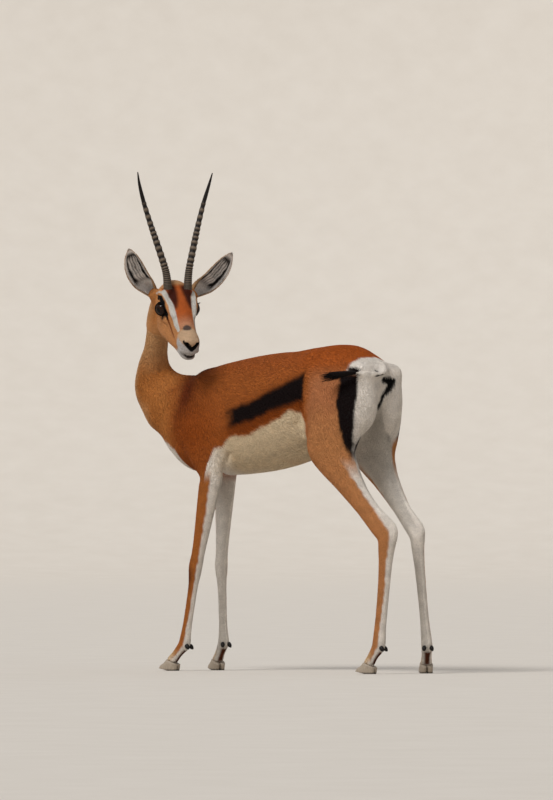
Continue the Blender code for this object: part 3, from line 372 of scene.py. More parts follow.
def largest(bm):
    """Keeps only the largest connected surface of a bmesh."""
    left = set(bm.verts)
    groups = []
    while left:
        group = {left.pop()}
        rim = list(group)
        while rim:
            vert = rim.pop()
            for edge in vert.link_edges:
                near = edge.other_vert(vert)
                if near in left:
                    left.discard(near)
                    group.add(near)
                    rim.append(near)
        groups.append(group)
    groups.sort(key=len)
    spare = [v for g in groups[:-1] for v in g]
    bmesh.ops.delete(bm, geom=spare, context="VERTS")


def points_of(mesh):
    flat = np.empty(len(mesh.vertices) * 3, np.float32)
    mesh.vertices.foreach_get("co", flat)
    return flat.reshape(-1, 3).astype(float)


def move_points(mesh, points):
    mesh.vertices.foreach_set("co", points.astype(np.float32).ravel())
    mesh.update()


def normals_of(mesh):
    flat = np.empty(len(mesh.vertices) * 3, np.float32)
    mesh.vertex_normals.foreach_get("vector", flat)
    return flat.reshape(-1, 3).astype(float)


def edges_of(mesh):
    flat = np.empty(len(mesh.edges) * 2, np.int32)
    mesh.edges.foreach_get("vertices", flat)
    return flat.reshape(-1, 2)


def relaxed(values, edges, rounds, weight=0.5):
    """Moves each value towards the mean of its neighbours, round after round."""
    values = values.reshape(len(values), -1)
    count = len(values)
    near = np.maximum(np.bincount(edges.ravel(), minlength=count), 1)[:, None]
    for _ in range(rounds):
        total = np.empty_like(values)
        for column in range(values.shape[1]):
            one = np.bincount(edges[:, 0], values[edges[:, 1], column], count)
            two = np.bincount(edges[:, 1], values[edges[:, 0], column], count)
            total[:, column] = one + two
        values = values + (total / near - values) * weight
    return values


def calmed(mesh, rounds, weight=0.5):
    """Smooths a mesh and gives back the volume that the smoothing took."""
    start = points_of(mesh)
    edges = edges_of(mesh)
    soft = relaxed(start, edges, rounds, weight)
    move_points(mesh, soft)
    normals = normals_of(mesh)
    lost = ((start - soft) * normals).sum(1)
    back = relaxed(lost, edges, rounds)
    move_points(mesh, soft + normals * back)


def smooth(value, low, high):
    """0 below low, 1 above high and a soft step between."""
    t = np.clip((value - low) / (high - low), 0, 1)
    return t * t * (3 - 2 * t)


def add(tree, kind, fields=None, inputs=None):
    """Adds a node with its settings, values and links."""
    made = tree.nodes.new(kind)
    for name, value in (fields or {}).items():
        setattr(made, name, value)
    for name, value in (inputs or {}).items():
        if isinstance(value, bpy.types.NodeSocket):
            tree.links.new(value, made.inputs[name])
        else:
            made.inputs[name].default_value = value
    return made


def new_material(name):
    made = bpy.data.materials.new(name)
    made.use_nodes = True
    made.node_tree.nodes.clear()
    return made, made.node_tree


def skull_rings():
    rings = []
    for x, top, bottom, half, share, square in SKULL_SIZES:
        middle = bottom + (top - bottom) * share
        rings.append(((x, 0, middle), (0, 0, 1), top - middle, middle - bottom, half, square))
    return rings


def jaw_rings():
    rings = []
    for x, top, bottom, half in JAW_SIZES:
        middle = (top + bottom) / 2
        rings.append(((x, 0, middle), (0, 0, 1), top - middle, middle - bottom, half, 2.2))
    return rings


def neck_rings():
    """The upper neck in the head's own frame."""
    inverse = head_matrix().inverted()
    rings = []
    for centre, throat, nape, half, turn in NECK_SIZES:
        angle = math.radians(turn)
        way = Vector((-math.cos(angle), -math.sin(angle), -0.12))
        rings.append((inverse @ Vector(centre), inverse.to_3x3() @ way, throat, nape, half, 2.0))
    rings.append((Vector((0.196, 0, 0.030)), rings[-1][1], 0.036, 0.034, 0.034, 2.0))
    return rings


def ear_reach_local(side):
    """From an ear's root to its tip, in the head's own frame."""
    out, ahead, up = EAR_REACH["right" if side > 0 else "left"]
    turn = (head_matrix().inverted() @ upright_matrix()).to_3x3()
    return turn @ Vector((-ahead, side * out, up))


def eye_frame(side):
    """Places a frame in the eye's middle whose +Z is the way it looks, +X its front corner, +Y up."""
    way = mirrored(EYE_WAY, side)
    front = Vector((-0.86, 0.0, -0.42))
    front = (front - way * front.dot(way)).normalized()
    turn = Matrix((front, way.cross(front) * side, way)).transposed().to_4x4()
    return Matrix.Translation(mirrored(EYE_LOCAL, side)) @ turn


def head_flesh(eye_radius):
    """Skull, jaw, cheeks, orbits, lips and nose as overlapping skins, in the head's own frame."""
    bm = bmesh.new()
    tube(bm, skull_rings(), 48, 90)
    tube(bm, jaw_rings(), 36, 60)
    ball(bm, NOSE_PLACE, NOSE_RADII)
    ball(bm, CROWN_PLACE, CROWN_RADII)
    tube(bm, neck_rings(), 48, 40)
    to_head = head_matrix().inverted() @ upright_matrix()
    for side in (-1, 1):
        for ridge in HEAD_RIDGES.values():
            rings = []
            for x, y, z, tall, half in ridge:
                rings.append(((x, y * side, z), (0, 0, 1), tall, tall, half, 2.0))
            tube(bm, rings, 20, 30)
        ball(bm, mirrored(EYE_LOCAL, side), [eye_radius + ORBIT_WALL] * 3)
        ball(bm, mirrored(EYE_LOCAL + TEMPLE_SHIFT, side), TEMPLE_RADII)
        ball(bm, mirrored(LIP_PLACE, side), LIP_RADII)
        ball(bm, to_head @ Vector((0, side * (HORN_SPREAD - BOSS_INSET), -BOSS_DEPTH)), BOSS_RADII)
        ear = mirrored(EAR_ROOT_LOCAL, side)
        inner = ear - mirrored((0.004, 0.0180, 0.004), side)
        outer = ear + ear_reach_local(side) * 0.11
        funnel = (
            (inner, (-1, 0, 0), 0.028, 0.026, 0.028, 2.0),
            (inner.lerp(outer, 0.5), (-1, 0, 0), 0.0205, 0.0205, 0.0205, 2.0),
            (outer, (-1, 0, 0), 0.0135, 0.0135, 0.0135, 2.0),
        )
        tube(bm, funnel, 24, 16)
    return bm


def finer(bm, wanted):
    """Splits the faces whose middle a test wants finer."""
    faces = [f for f in bm.faces if wanted(f.calc_center_median())]
    edges = list({e for f in faces for e in f.edges})
    bmesh.ops.subdivide_edges(bm, edges=edges, cuts=1, use_grid_fill=True)
    bmesh.ops.triangulate(bm, faces=[f for f in bm.faces if len(f.verts) > 4])


def line_distance(points, line):
    """How far points lie from a line of places, and the share of the line's length there."""
    line = np.array(line, float)
    best = np.full(len(points), 1e9)
    share = np.zeros(len(points))
    for i in range(len(line) - 1):
        start = line[i, :3]
        way = line[i + 1, :3] - start
        t = np.clip((points - start) @ way / max(way @ way, 1e-12), 0, 1)
        far = np.linalg.norm(points - start - t[:, None] * way, axis=1)
        near = far < best
        best = np.where(near, far, best)
        share = np.where(near, i + t, share)
    return best, share


def mouth_line():
    """The line between the lips, from the left corner of the mouth round the muzzle to the right one."""
    line = []
    for step in range(-12, 13):
        angle = step / 12 * math.pi / 2
        bow = abs(step / 12) ** 1.6
        x = MOUTH_CORNER.x - math.cos(angle) * (MOUTH_CORNER.x - 0.004)
        y = (math.sin(angle) ** 3 * 0.3 + math.sin(angle) * 0.7) * MOUTH_CORNER.y
        line.append((x, y, -0.0105 + 0.0110 * bow))
    return line


# How far the lids reach from the eye's middle, in eye radii
LID_REACH = 1.7


def lid_shape(points, side, settings):
    """For points near an eye: distance from its middle, lid opening there (1 at the rim) and way."""
    local = through(points, eye_frame(side).inverted())
    far = np.linalg.norm(local, axis=1)
    way = local / np.maximum(far, 1e-6)[:, None]
    flat = way * settings.eye_radius
    pinch = 1 - 0.22 * np.clip(flat[:, 0] / settings.lid_width, -1, 1) ** 2
    open_ = np.hypot(flat[:, 0] / settings.lid_width, flat[:, 1] / (settings.lid_height * pinch))
    open_ = np.where(way[:, 2] > 0, open_, 9)
    return far, open_, way


def shape_face(mesh, settings):
    """Sinks the sockets, raises the lids, and presses in the nostrils and the line of the mouth."""
    points = points_of(mesh)
    for side in (-1, 1):
        far, open_, way = lid_shape(points, side, settings)
        near = (far < settings.eye_radius * LID_REACH) & (open_ < 3)
        rim = settings.eye_radius + settings.lid_thickness
        inside = 1 - smooth(open_, 0.96, 1.04)
        lift = rim - 0.0012 * smooth(open_, 1.06, 1.35) + 0.0006 * smooth(open_, 1.40, 1.70)
        hold = (1 - smooth(open_, 1.15, 1.9)) * (1 - inside)
        target = far * (1 - hold) + lift * hold
        target = target * (1 - inside) + settings.eye_radius * 0.90 * inside
        crease = np.exp(-(((open_ - 1.45) / 0.10) ** 2)) * 0.0010
        target = target - crease
        target = np.where(near, target, far)
        lids = through(way * target[:, None], eye_frame(side))
        points = np.where(near[:, None], lids, points)
    move_points(mesh, points)
    normals = normals_of(mesh)
    for side in (-1, 1):
        line = [(x, y * side, z) for x, y, z, _ in NOSTRIL_LINE]
        width = np.array([r for _, _, _, r in NOSTRIL_LINE])
        far, share = line_distance(points, line)
        radius = np.interp(share, range(len(width)), width)
        sunk = 1 - smooth(far, radius * 0.55, radius * 1.25)
        points = points - normals * (sunk * settings.nostril_depth)[:, None]
    far, _ = line_distance(points, mouth_line())
    sunk = np.exp(-((far / 0.0013) ** 2)) * settings.mouth_depth
    swell = np.exp(-(((far - 0.0042) / 0.0024) ** 2)) * 0.0006
    points = points + normals * (swell - sunk)[:, None]
    move_points(mesh, points)


# Rounds of smoothing of the head before and after its finer faces, and where those lie
HEAD_CALM = 7
FACE_CALM = 2
EYE_DETAIL_REACH = 0.031
LIP_DETAIL_REACH = 0.0065
MUZZLE_DETAIL_END = 0.030
NOSE_DETAIL_END = 0.019


def build_head(settings):
    """The head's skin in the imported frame, cut open where the neck begins."""
    mesh = fused(head_flesh(settings.eye_radius), settings.head_voxel)
    calmed(mesh, HEAD_CALM)
    bm = bmesh.new()
    bm.from_mesh(mesh)
    eyes = [mirrored(EYE_LOCAL, side) for side in (-1, 1)]
    finer(bm, lambda p: min((p - e).length for e in eyes) < EYE_DETAIL_REACH or p.x < MUZZLE_DETAIL_END)
    line = [Vector(p) for p in mouth_line()[::3]]
    finer(bm, lambda p: p.x < NOSE_DETAIL_END or min((p - q).length for q in line) < LIP_DETAIL_REACH)
    bm.to_mesh(mesh)
    bm.free()
    calmed(mesh, FACE_CALM)
    shape_face(mesh, settings)
    mesh.transform(head_matrix())
    shrink(mesh, settings.face_coat_depth)
    bm = bmesh.new()
    bm.from_mesh(mesh)
    bpy.data.meshes.remove(mesh)
    cut_neck(bm, NECK_CUT + NECK_CUT_NORMAL * settings.seam_gap, False)
    largest(bm)
    return bm


def cut_neck(bm, point, keep_below):
    """Opens a skin where the neck meets the head."""
    bmesh.ops.bisect_plane(
        bm,
        geom=bm.verts[:] + bm.edges[:] + bm.faces[:],
        dist=1e-6,
        plane_co=point,
        plane_no=NECK_CUT_NORMAL,
        clear_outer=keep_below,
        clear_inner=not keep_below,
    )


def shrink(mesh, depth):
    """Draws a skin inwards, by one depth or by one for each point."""
    points = points_of(mesh)
    depth = np.broadcast_to(depth, len(points))
    move_points(mesh, points - normals_of(mesh) * depth[:, None])


# Creases of the skin: (depth, half width, places); the first group lies on both sides
CREASES = (
    (0.0050, 0.008, ((-0.171, -0.083, 0.576), (-0.191, -0.070, 0.555), (-0.209, -0.055, 0.536))),
    (0.0050, 0.009, ((0.086, -0.099, 0.654), (0.100, -0.090, 0.628))),
    (0.0020, 0.014, ((-0.300, -0.060, 0.800), (-0.215, -0.095, 0.660), (-0.190, -0.085, 0.580))),
    (
        0.0030,
        0.011,
        ((0.087, -0.093, 0.794), (0.105, -0.100, 0.750), (0.112, -0.104, 0.710), (0.100, -0.100, 0.655)),
    ),
    (0.0030, 0.006, ((0.352, -0.088, 0.425), (0.375, -0.085, 0.385))),
)
NECK_FOLDS = (
    (0.0026, 0.006, ((-0.438, -0.047, 0.791), (-0.396, -0.064, 0.737), (-0.341, -0.090, 0.670))),
    (0.0022, 0.005, ((-0.452, -0.052, 0.812), (-0.425, -0.068, 0.752), (-0.385, -0.082, 0.690))),
    (0.0020, 0.005, ((-0.425, -0.040, 0.800), (-0.375, -0.062, 0.755), (-0.330, -0.082, 0.710))),
    (0.0018, 0.005, ((-0.395, -0.076, 0.705), (-0.390, -0.076, 0.660))),
)


def crease(mesh):
    """Presses the folds of elbow, flank, thigh, hock and neck into a skin."""
    points = points_of(mesh)
    normals = normals_of(mesh)
    sunk = np.zeros(len(points))
    for depth, half, line in CREASES:
        for side in (1, -1):
            far, _ = line_distance(points, [(x, y * side, z) for x, y, z in line])
            sunk += depth * np.exp(-((far / half) ** 2))
    for depth, half, line in NECK_FOLDS:
        far, _ = line_distance(points, line)
        sunk += depth * np.exp(-((far / half) ** 2))
    move_points(mesh, points - normals * sunk[:, None])


# How far the solids' copies swell to fuse, rounds of smoothing, and its strength on legs and trunk
FLESH_OVERLAP = 0.001
BODY_CALM = 26
LEG_CALM_WEIGHT = 0.12
TRUNK_CALM_WEIGHT = 0.50


def build_body(settings):
    """Trunk, neck, legs and tail, from merged copies of the solids, calmed and drawn in under the coat."""
    bm = bmesh.new()
    for name in FLESH_NODES:
        part = bmesh.new()
        part.from_mesh(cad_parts[name].data)
        bmesh.ops.remove_doubles(part, verts=part.verts, dist=1e-6)
        part.normal_update()
        moved = [(v, v.co + v.normal * FLESH_OVERLAP) for v in part.verts]
        for vert, place in moved:
            vert.co = place
        mesh = bpy.data.meshes.new("part")
        part.to_mesh(mesh)
        part.free()
        bm.from_mesh(mesh)
        bpy.data.meshes.remove(mesh)
    bm.transform(Matrix.Translation(-STANCE_SHIFT))
    mesh = fused(bm, settings.body_voxel)
    bm = bmesh.new()
    bm.from_mesh(mesh)
    largest(bm)
    bm.to_mesh(mesh)
    bm.free()
    start = points_of(mesh)
    calm = LEG_CALM_WEIGHT + (TRUNK_CALM_WEIGHT - LEG_CALM_WEIGHT) * smooth(start[:, 2], 0.50, 0.62)
    calmed(mesh, BODY_CALM, calm[:, None])
    deeper = settings.body_coat_depth - settings.leg_coat_depth
    depth = settings.leg_coat_depth + deeper * smooth(start[:, 2], 0.42, 0.62)
    shrink(mesh, depth + FLESH_OVERLAP)
    crease(mesh)
    bm = bmesh.new()
    bm.from_mesh(mesh)
    bpy.data.meshes.remove(mesh)
    return bm


# Part of the body near the cut, and where its own neck ends above it
CUT_REACH = 0.14
HEAD_REACH = 0.30
HEAD_FLOOR = 0.86


def join_at_neck(body, head):
    """Joins body and head into one skin through a band of new faces."""
    near = [f for f in body.faces if (f.calc_center_median() - NECK_CUT).length < CUT_REACH]
    edges = list({e for f in near for e in f.edges})
    verts = list({v for f in near for v in f.verts})
    bmesh.ops.bisect_plane(
        body,
        geom=verts + edges + near,
        dist=1e-6,
        plane_co=NECK_CUT,
        plane_no=NECK_CUT_NORMAL,
    )
    above = []
    for vert in body.verts:
        offset = vert.co - NECK_CUT
        if offset.length < HEAD_REACH and offset.dot(NECK_CUT_NORMAL) > 1e-6 and vert.co.z > HEAD_FLOOR:
            if (vert.co - HORN_ROOT_PLACE).length < HEAD_REACH:
                above.append(vert)
    bmesh.ops.delete(body, geom=above, context="VERTS")
    largest(body)
    mesh = bpy.data.meshes.new("head_part")
    head.to_mesh(mesh)
    head.free()
    body.verts.layers.float.new("head_share")
    layer = body.verts.layers.float["head_share"]
    for vert in body.verts:
        vert.tag = True
    body.from_mesh(mesh)
    bpy.data.meshes.remove(mesh)
    layer = body.verts.layers.float["head_share"]
    for vert in body.verts:
        if not vert.tag:
            vert[layer] = 1
    rims = [e for e in body.edges if e.is_boundary]
    bmesh.ops.bridge_loops(body, edges=rims)
    bmesh.ops.triangulate(body, faces=[f for f in body.faces if len(f.verts) > 4])
    return body


# Smoothing of the seam: reach along the neck's skin, width of the band and rounds
SEAM_REACH = 0.09
SEAM_WIDTH = 0.018
SEAM_CALM = 14


def build_skin(settings, coat):
    """One skin over all the flesh, with the share of each point that belongs to the head."""
    body = join_at_neck(build_body(settings), build_head(settings))
    skin = finished(body, "skin", coat)
    mesh = skin.data
    points = points_of(mesh) - np.array(STANCE_SHIFT)
    seam = np.abs((points - np.array(NECK_CUT)) @ np.array(NECK_CUT_NORMAL))
    close = np.linalg.norm(points - np.array(NECK_CUT), axis=1) < SEAM_REACH
    weight = np.where(close, np.exp(-((seam / SEAM_WIDTH) ** 2)), 0)[:, None] * 0.5
    calmed(mesh, SEAM_CALM, weight)
    return skin


def size_property(name, size, description):
    """A length that a user may change, in metres."""
    return FloatProperty(name=name, description=description, default=size, unit="LENGTH")


class SkinSettings(bpy.types.PropertyGroup):
    """Sizes of the skin and of the face's features."""

    body_voxel: size_property("Body mesh", 0.0048, "Side of the body's squares")
    head_voxel: size_property("Head mesh", 0.0022, "Side of the head's squares")
    body_coat_depth: size_property("Body coat depth", 0.0020, "Depth of the coat on the trunk")
    leg_coat_depth: size_property("Leg coat depth", 0.0008, "Depth of the coat on the legs")
    face_coat_depth: size_property("Face coat depth", 0.0007, "Depth of the coat on the head")
    seam_gap: size_property("Seam band", 0.004, "Width of the band that joins neck and head")
    eye_radius: size_property("Eye radius", 0.0185, "Radius of the eyeball")
    lid_width: size_property("Lid opening width", 0.0165, "Half the length of the opening")
    lid_height: size_property("Lid opening height", 0.0135, "Half the height of the opening")
    lid_thickness: size_property("Lid thickness", 0.0027, "Thickness of the lids' rims")
    nostril_depth: size_property("Nostril depth", 0.0060, "How deep the nostrils go")
    mouth_depth: size_property("Mouth depth", 0.0020, "Depth of the line between the lips")


def colour(name, code, description):
    """A colour that a user may change, given as sRGB hex."""
    return FloatVectorProperty(
        name=name, description=description, default=linear(code), subtype="COLOR", size=3, min=0, max=1
    )


class CoatColours(bpy.types.PropertyGroup):
    """Colours of the coat's zones and markings."""

    back: colour("Back", "#A85A28", "Rufous of the back")
    rump: colour("Rump top", "#B0561C", "Brighter rufous over the rump")
    side: colour("Side", "#A25A27", "Side of the trunk")
    shoulder: colour("Shoulder", "#964A18", "Lower shoulder")
    withers: colour("Withers", "#5E240C", "Dark patch before the shoulder blade")
    thigh: colour("Thigh", "#B5744A", "Outer thigh and gaskin")
    gaskin: colour("Gaskin", "#BE8150", "Lighter orange of the lower thigh and hind leg")
    neck: colour("Neck", "#B47138", "Side of the neck")
    # Also painted as a rim light down the front of the neck, besides the paler throat.
    throat: colour("Throat", "#CC9F70", "Paler upper neck and throat")
    stripe: colour("Flank stripe", "#120705", "Black band on the flank")
    band: colour("Rust band", "#803B0B", "Dark rust under the flank stripe")
    white: colour("White", "#E8DFD4", "White of rump, belly and legs")
    belly: colour("Belly", "#D6C09F", "Cream of the belly")
    inner: colour("Inner leg", "#CCC4B9", "Greyish white inside the legs")
    # Painted shade: a greyer copy of the white for the insides of legs and thighs, where they face each
    # other.
    leg: colour("Leg stripe", "#B26B33", "Orange brown down the front of each leg")
    brush: colour("Knee brush", "#6B3413", "Brush below each fore knee")
    pastern: colour("Pastern", "#D6B382", "Tan front of the pasterns")
    black: colour("Black", "#070404", "Black skin and hair")
    cheek: colour("Cheek", "#BF8452", "Cheek and jaw")
    blaze: colour("Blaze", "#B35A28", "Orange down the middle of the face")
    mask: colour("Mask", "#33100A", "Dark patches beside the blaze")
    face_white: colour("Face stripe", "#C9C4BB", "White stripe from horn to muzzle")
    nose_spot: colour("Nose spot", "#5A4A42", "Dark spot above the muzzle")
    muzzle: colour("Muzzle", "#C4A484", "Tan top of the muzzle")
    muzzle_white: colour("Muzzle white", "#B8B1AC", "White of lips and chin")
    tear: colour("Tear stripe", "#7A3F1A", "Dark rust line from eye to muzzle")
    poll: colour("Poll", "#D0A072", "Hair between the horns")
    ear_back: colour("Ear back", "#B08A62", "Outside of the ears")
    ear_white: colour("Ear white", "#EDE6E0", "Pale hair inside the ears")
    ear_dark: colour("Ear dark", "#0F0A09", "Dark streaks inside the ears")


def palette():
    """The coat's colours as arrays."""
    colours = bpy.context.scene.gazelle_colours
    return {key: np.array(getattr(colours, key)) for key in CoatColours.__annotations__}


def ripple(place, size, seed):
    """Soft noise from -1 to 1 whose waves are about a size long."""
    rng = np.random.default_rng(seed)
    total = np.zeros(len(place))
    for _ in range(7):
        way = rng.normal(size=3)
        way *= 2 * math.pi / size / np.linalg.norm(way) * rng.uniform(0.6, 1.5)
        total += np.sin(place @ way + rng.uniform(0, 6.28))
    return total / 4


def tint(base, shade, share):
    """A colour, or each point's own, moved towards another by each point's share."""
    return base + (shade - base) * np.clip(share, 0, 1)[:, None]


def blob(place, centre, reach):
    """1 at a centre and fading to 0 around it."""
    return np.exp(-(((place - np.array(centre)) / np.array(reach)) ** 2).sum(1))


def stroke(place, line, soft):
    """1 along a line of (x, y, z, radius), fading over a soft edge."""
    far, share = line_distance(place, line)
    radius = np.interp(share, range(len(line)), [p[3] for p in line])
    return 1 - smooth(far, radius - soft, radius + soft)


def leg_place(place, leg):
    """For points near a leg: place on its joint scale, and angle round it (0 ahead, 90 outwards)."""
    joints = np.array(LEGS[leg])
    _, scale = line_distance(place, joints)
    low = np.clip(scale.astype(int), 0, len(joints) - 2)
    centre = joints[low] + (joints[low + 1] - joints[low]) * (scale - low)[:, None]
    out = math.radians(TOE_OUT[leg])
    side = 1 if leg.endswith("right") else -1
    toe = np.array((-math.cos(out), side * math.sin(out), 0))
    blend = smooth(scale, 1.0, 2.0)[:, None]
    front = np.array((-1.0, 0, 0)) * (1 - blend) + toe * blend
    outer = np.stack((front[:, 1] * -side, front[:, 0] * side, front[:, 2]), 1) * -1
    offset = place - centre
    angle = np.degrees(np.arctan2((offset * outer).sum(1), (offset * front).sum(1)))
    return scale, angle


# Markings of the flank: lines of (x, z), from ahead to behind
STRIPE_TOP = ((-0.163, 0.698), (-0.123, 0.703), (-0.051, 0.724), (0.014, 0.750), (0.090, 0.783))
STRIPE_TOP += ((0.120, 0.790),)
STRIPE_LOW = ((-0.163, 0.642), (-0.150, 0.647), (-0.072, 0.663), (0.020, 0.697), (0.083, 0.712))
STRIPE_LOW += ((0.120, 0.718),)
# Upper edge of the white of breast, elbows and belly: (x, z), from ahead to behind
BELLY_LINE = (
    (-0.500, 0.652), (-0.430, 0.618), (-0.386, 0.596), (-0.350, 0.540), (-0.330, 0.500),
    (-0.300, 0.480), (-0.252, 0.480), (-0.232, 0.560), (-0.217, 0.589), (-0.182, 0.602),
    (-0.153, 0.622), (-0.076, 0.628), (-0.003, 0.660), (0.039, 0.675), (0.070, 0.692),
    (0.104, 0.690), (0.120, 0.660),
)
# Black band between thigh and rump: (z, outer x, inner x), from below
PYGAL = (
    (0.560, 0.284, 0.284), (0.590, 0.270, 0.278), (0.632, 0.259, 0.286), (0.679, 0.252, 0.292),
    (0.726, 0.247, 0.296), (0.776, 0.245, 0.296), (0.800, 0.246, 0.296),
)
# Black skin under the tail and the line that runs down from it: (x, y, z, radius)
PERINEUM = (
    (0.314, 0.001, 0.773, 0.008), (0.317, 0.019, 0.772, 0.011), (0.320, 0.033, 0.771, 0.008),
    (0.316, 0.022, 0.756, 0.010), (0.313, 0.014, 0.743, 0.008), (0.307, 0.003, 0.731, 0.0055),
    (0.303, 0.004, 0.720, 0.0045), (0.290, 0.0055, 0.703, 0.0040), (0.282, 0.004, 0.686, 0.0030),
)
# Black spots beside the tail's root, and the tail from root to tip: (x, y, z, radius)
RUMP_SPOT = ((0.262, -0.079, 0.801, 0.006), (0.278, -0.0775, 0.799, 0.008), (0.296, -0.0785, 0.796, 0.006))
TAIL_SPOT = ((0.3155, -0.0325, 0.796, 0.004), (0.3165, -0.0255, 0.787, 0.005))
TAIL_LINE = (
    (0.278, 0.000, 0.820, 0.0145), (0.306, 0.000, 0.811, 0.0120), (0.325, -0.006, 0.797, 0.0095),
    (0.331, -0.030, 0.788, 0.0070), (0.321, -0.060, 0.787, 0.0058), (0.304, -0.088, 0.789, 0.0052),
    (0.294, -0.103, 0.790, 0.0048),
)


def line_height(x, line):
    return np.interp(x, [p[0] for p in line], [p[1] for p in line])


def trunk_colours(place, normal, shades):
    """Trunk, neck and the tops of the legs."""
    x, y, z = place.T
    side = np.abs(y)
    uneven = ripple(place, 0.035, 3) * 0.0035 + ripple(place, 0.012, 4) * 0.0015
    tone = tint(shades["back"], shades["side"], 1 - smooth(z + uneven * 3, 0.76, 0.83))
    tone = tint(tone, shades["rump"], blob(place * (1, 0, 1), (0.22, 0, 0.87), (0.16, 1, 0.06)))
    tone = tint(tone, shades["shoulder"], blob(place * (1, 0, 1), (-0.30, 0, 0.64), (0.12, 1, 0.10)))
    tone = tint(tone, shades["withers"], 0.9 * blob(place * (1, 0, 1), (-0.345, 0, 0.745), (0.050, 1, 0.065)))
    tone = tint(tone, shades["thigh"], smooth(x + uneven * 3, 0.105, 0.16) * (1 - smooth(z, 0.76, 0.82)))
    tone = tint(tone, shades["gaskin"], smooth(x, 0.12, 0.17) * (1 - smooth(z + uneven * 3, 0.62, 0.74)))
    _, up = line_distance(place, ((-0.40, 0, 0.76),) + NECK_LINE[::-1])
    tone = tint(tone, shades["neck"], smooth(-x + uneven * 3, 0.36, 0.43))
    tone = tint(tone, shades["throat"], smooth(up, 1.6, 3.6) * 0.8)
    # Painted highlight: where the neck faces forward and to the left it takes the throat colour, partly the
    # paler throat and partly a painted rim light.
    front = smooth(-normal[:, 0] - 0.3 * normal[:, 1], 0.35, 0.95) * smooth(-x, 0.44, 0.48)
    tone = tint(tone, shades["throat"], front * 0.8)
    belly, high, deep = (line_height(x, line) for line in (BELLY_LINE, STRIPE_TOP, STRIPE_LOW))
    level = z + uneven
    band = smooth(level, belly, belly + 0.012)
    band *= 1 - smooth(level, deep, deep + 0.02)
    band *= smooth(x + uneven, -0.20, -0.13) * (1 - smooth(x, 0.105, 0.125))
    tone = tint(tone, shades["band"], band * 0.9)
    upper = smooth(level, high + 0.030, high)
    stripe = 1 - smooth(level, high - 0.010, high + 0.010)
    stripe *= smooth(level, deep - 0.010, deep + 0.010)
    stripe *= smooth(x + uneven * 2, -0.178, -0.130) * (1 - smooth(x + uneven, 0.106, 0.117))
    stripe *= smooth(side, 0.055, 0.075)
    tone = tint(tone, shades["band"], upper * 0.25 * smooth(x, -0.15, -0.08) * (1 - smooth(x, 0.105, 0.125)))
    tone = tint(tone, shades["stripe"], stripe)
    under = 1 - smooth(level, belly - 0.006, belly + 0.005)
    under *= 1 - smooth(x, 0.112, 0.128)
    # Painted shade: insides of the thighs that face the middle of the body take the greyer white.
    inward = normal[:, 1] * np.sign(y)
    shaded_inner_thigh = (1 - smooth(inward + uneven * 8, -0.15, 0.10)) * smooth(x, 0.09, 0.12)
    shaded_inner_thigh *= 1 - smooth(z, 0.70, 0.76)
    pale = tint(shades["white"], shades["belly"], smooth(-x, 0.25, 0.15))
    tone = tint(tone, pale, under)
    tone = tint(tone, shades["inner"], shaded_inner_thigh)
    heights = [p[0] for p in PYGAL]
    outer = np.interp(z, heights, [p[1] for p in PYGAL])
    inner = np.interp(z, heights, [p[2] for p in PYGAL])
    low = smooth(z, 0.555, 0.570)
    rump = smooth(x + uneven * 0.5, inner - 0.003, inner + 0.003) * low
    top = np.interp(side, (0.0, 0.0165, 0.0345, 0.0665, 0.0805), (0.272, 0.266, 0.261, 0.261, 0.252))
    rump = np.maximum(rump, smooth(x + uneven * 0.7, top - 0.004, top + 0.004) * smooth(z, 0.785, 0.800))
    dark = smooth(x + uneven, outer - 0.004, outer + 0.005) * (1 - smooth(z, 0.782, 0.795))
    dark *= low * smooth(side, 0.04, 0.06)
    dark *= np.where(y > 0, smooth(z, 0.60, 0.64), 1)
    tone = tint(tone, shades["stripe"], dark)
    tone = tint(tone, shades["white"], rump)
    tone = tint(tone, shades["stripe"], stroke(np.stack((x, -side, z), 1), RUMP_SPOT, 0.003))
    tone = tint(tone, shades["black"], stroke(place, PERINEUM, 0.002))
    tone = tint(tone, shades["black"], stroke(place, TAIL_SPOT, 0.002))
    tail = stroke(place, [(p[0], p[1], p[2], p[3] + 0.001) for p in TAIL_LINE[2:]], 0.002)
    tone = tint(tone, shades["white"], tail)
    tone = tint(tone, shades["stripe"], tail * smooth(-normal[:, 2], 0.45, 0.75) * smooth(-y, 0.0, 0.02))
    return tone


def leg_colours(place, leg, shades):
    """Free part of a leg: orange ahead and outside, white behind, and a greyer white painted as shade inside.
    """
    scale, angle = leg_place(place, leg)
    fore = leg.startswith("fore")
    jag = ripple(place, 0.020, 5) * 7
    start, end = (-48, 128) if fore else (-44, 132)
    start = start + 14 * smooth(scale, 2.2, 3.0)
    end = end - 26 * smooth(scale, 2.4, 3.2)
    turn = angle + jag
    stripe = smooth(turn, start - 10, start + 10) * (1 - smooth(turn, end - 9, end + 9))
    # Painted shade: the inner side of each leg takes the greyer white.
    tone = tint(shades["white"], shades["inner"], smooth(-angle, 20, 80) * 0.8)
    tone = tint(tone, shades["leg" if fore else "gaskin"], stripe * (1 - smooth(scale, 3.55, 3.95)))
    tone = tint(tone, shades["pastern"], smooth(scale, 3.2, 3.7) * (1 - smooth(np.abs(angle), 60, 120)) * 0.8)
    if fore:
        knee = blob(np.stack((scale, angle / 60), 1), (2.16, 0.5), (0.16, 1.0))
        tone = tint(tone, shades["brush"], knee * 1.1)
    else:
        cap = smooth(np.abs(angle), 118, 150) * blob(scale[:, None], (2.0,), (0.12,))
        tone = tint(tone, shades["white"], cap)
    behind = smooth(np.abs(angle), 128, 160) * smooth(scale, 3.08, 3.18) * (1 - smooth(scale, 3.8, 4.0))
    return tint(tone, shades["brush"] * 0.6, behind)


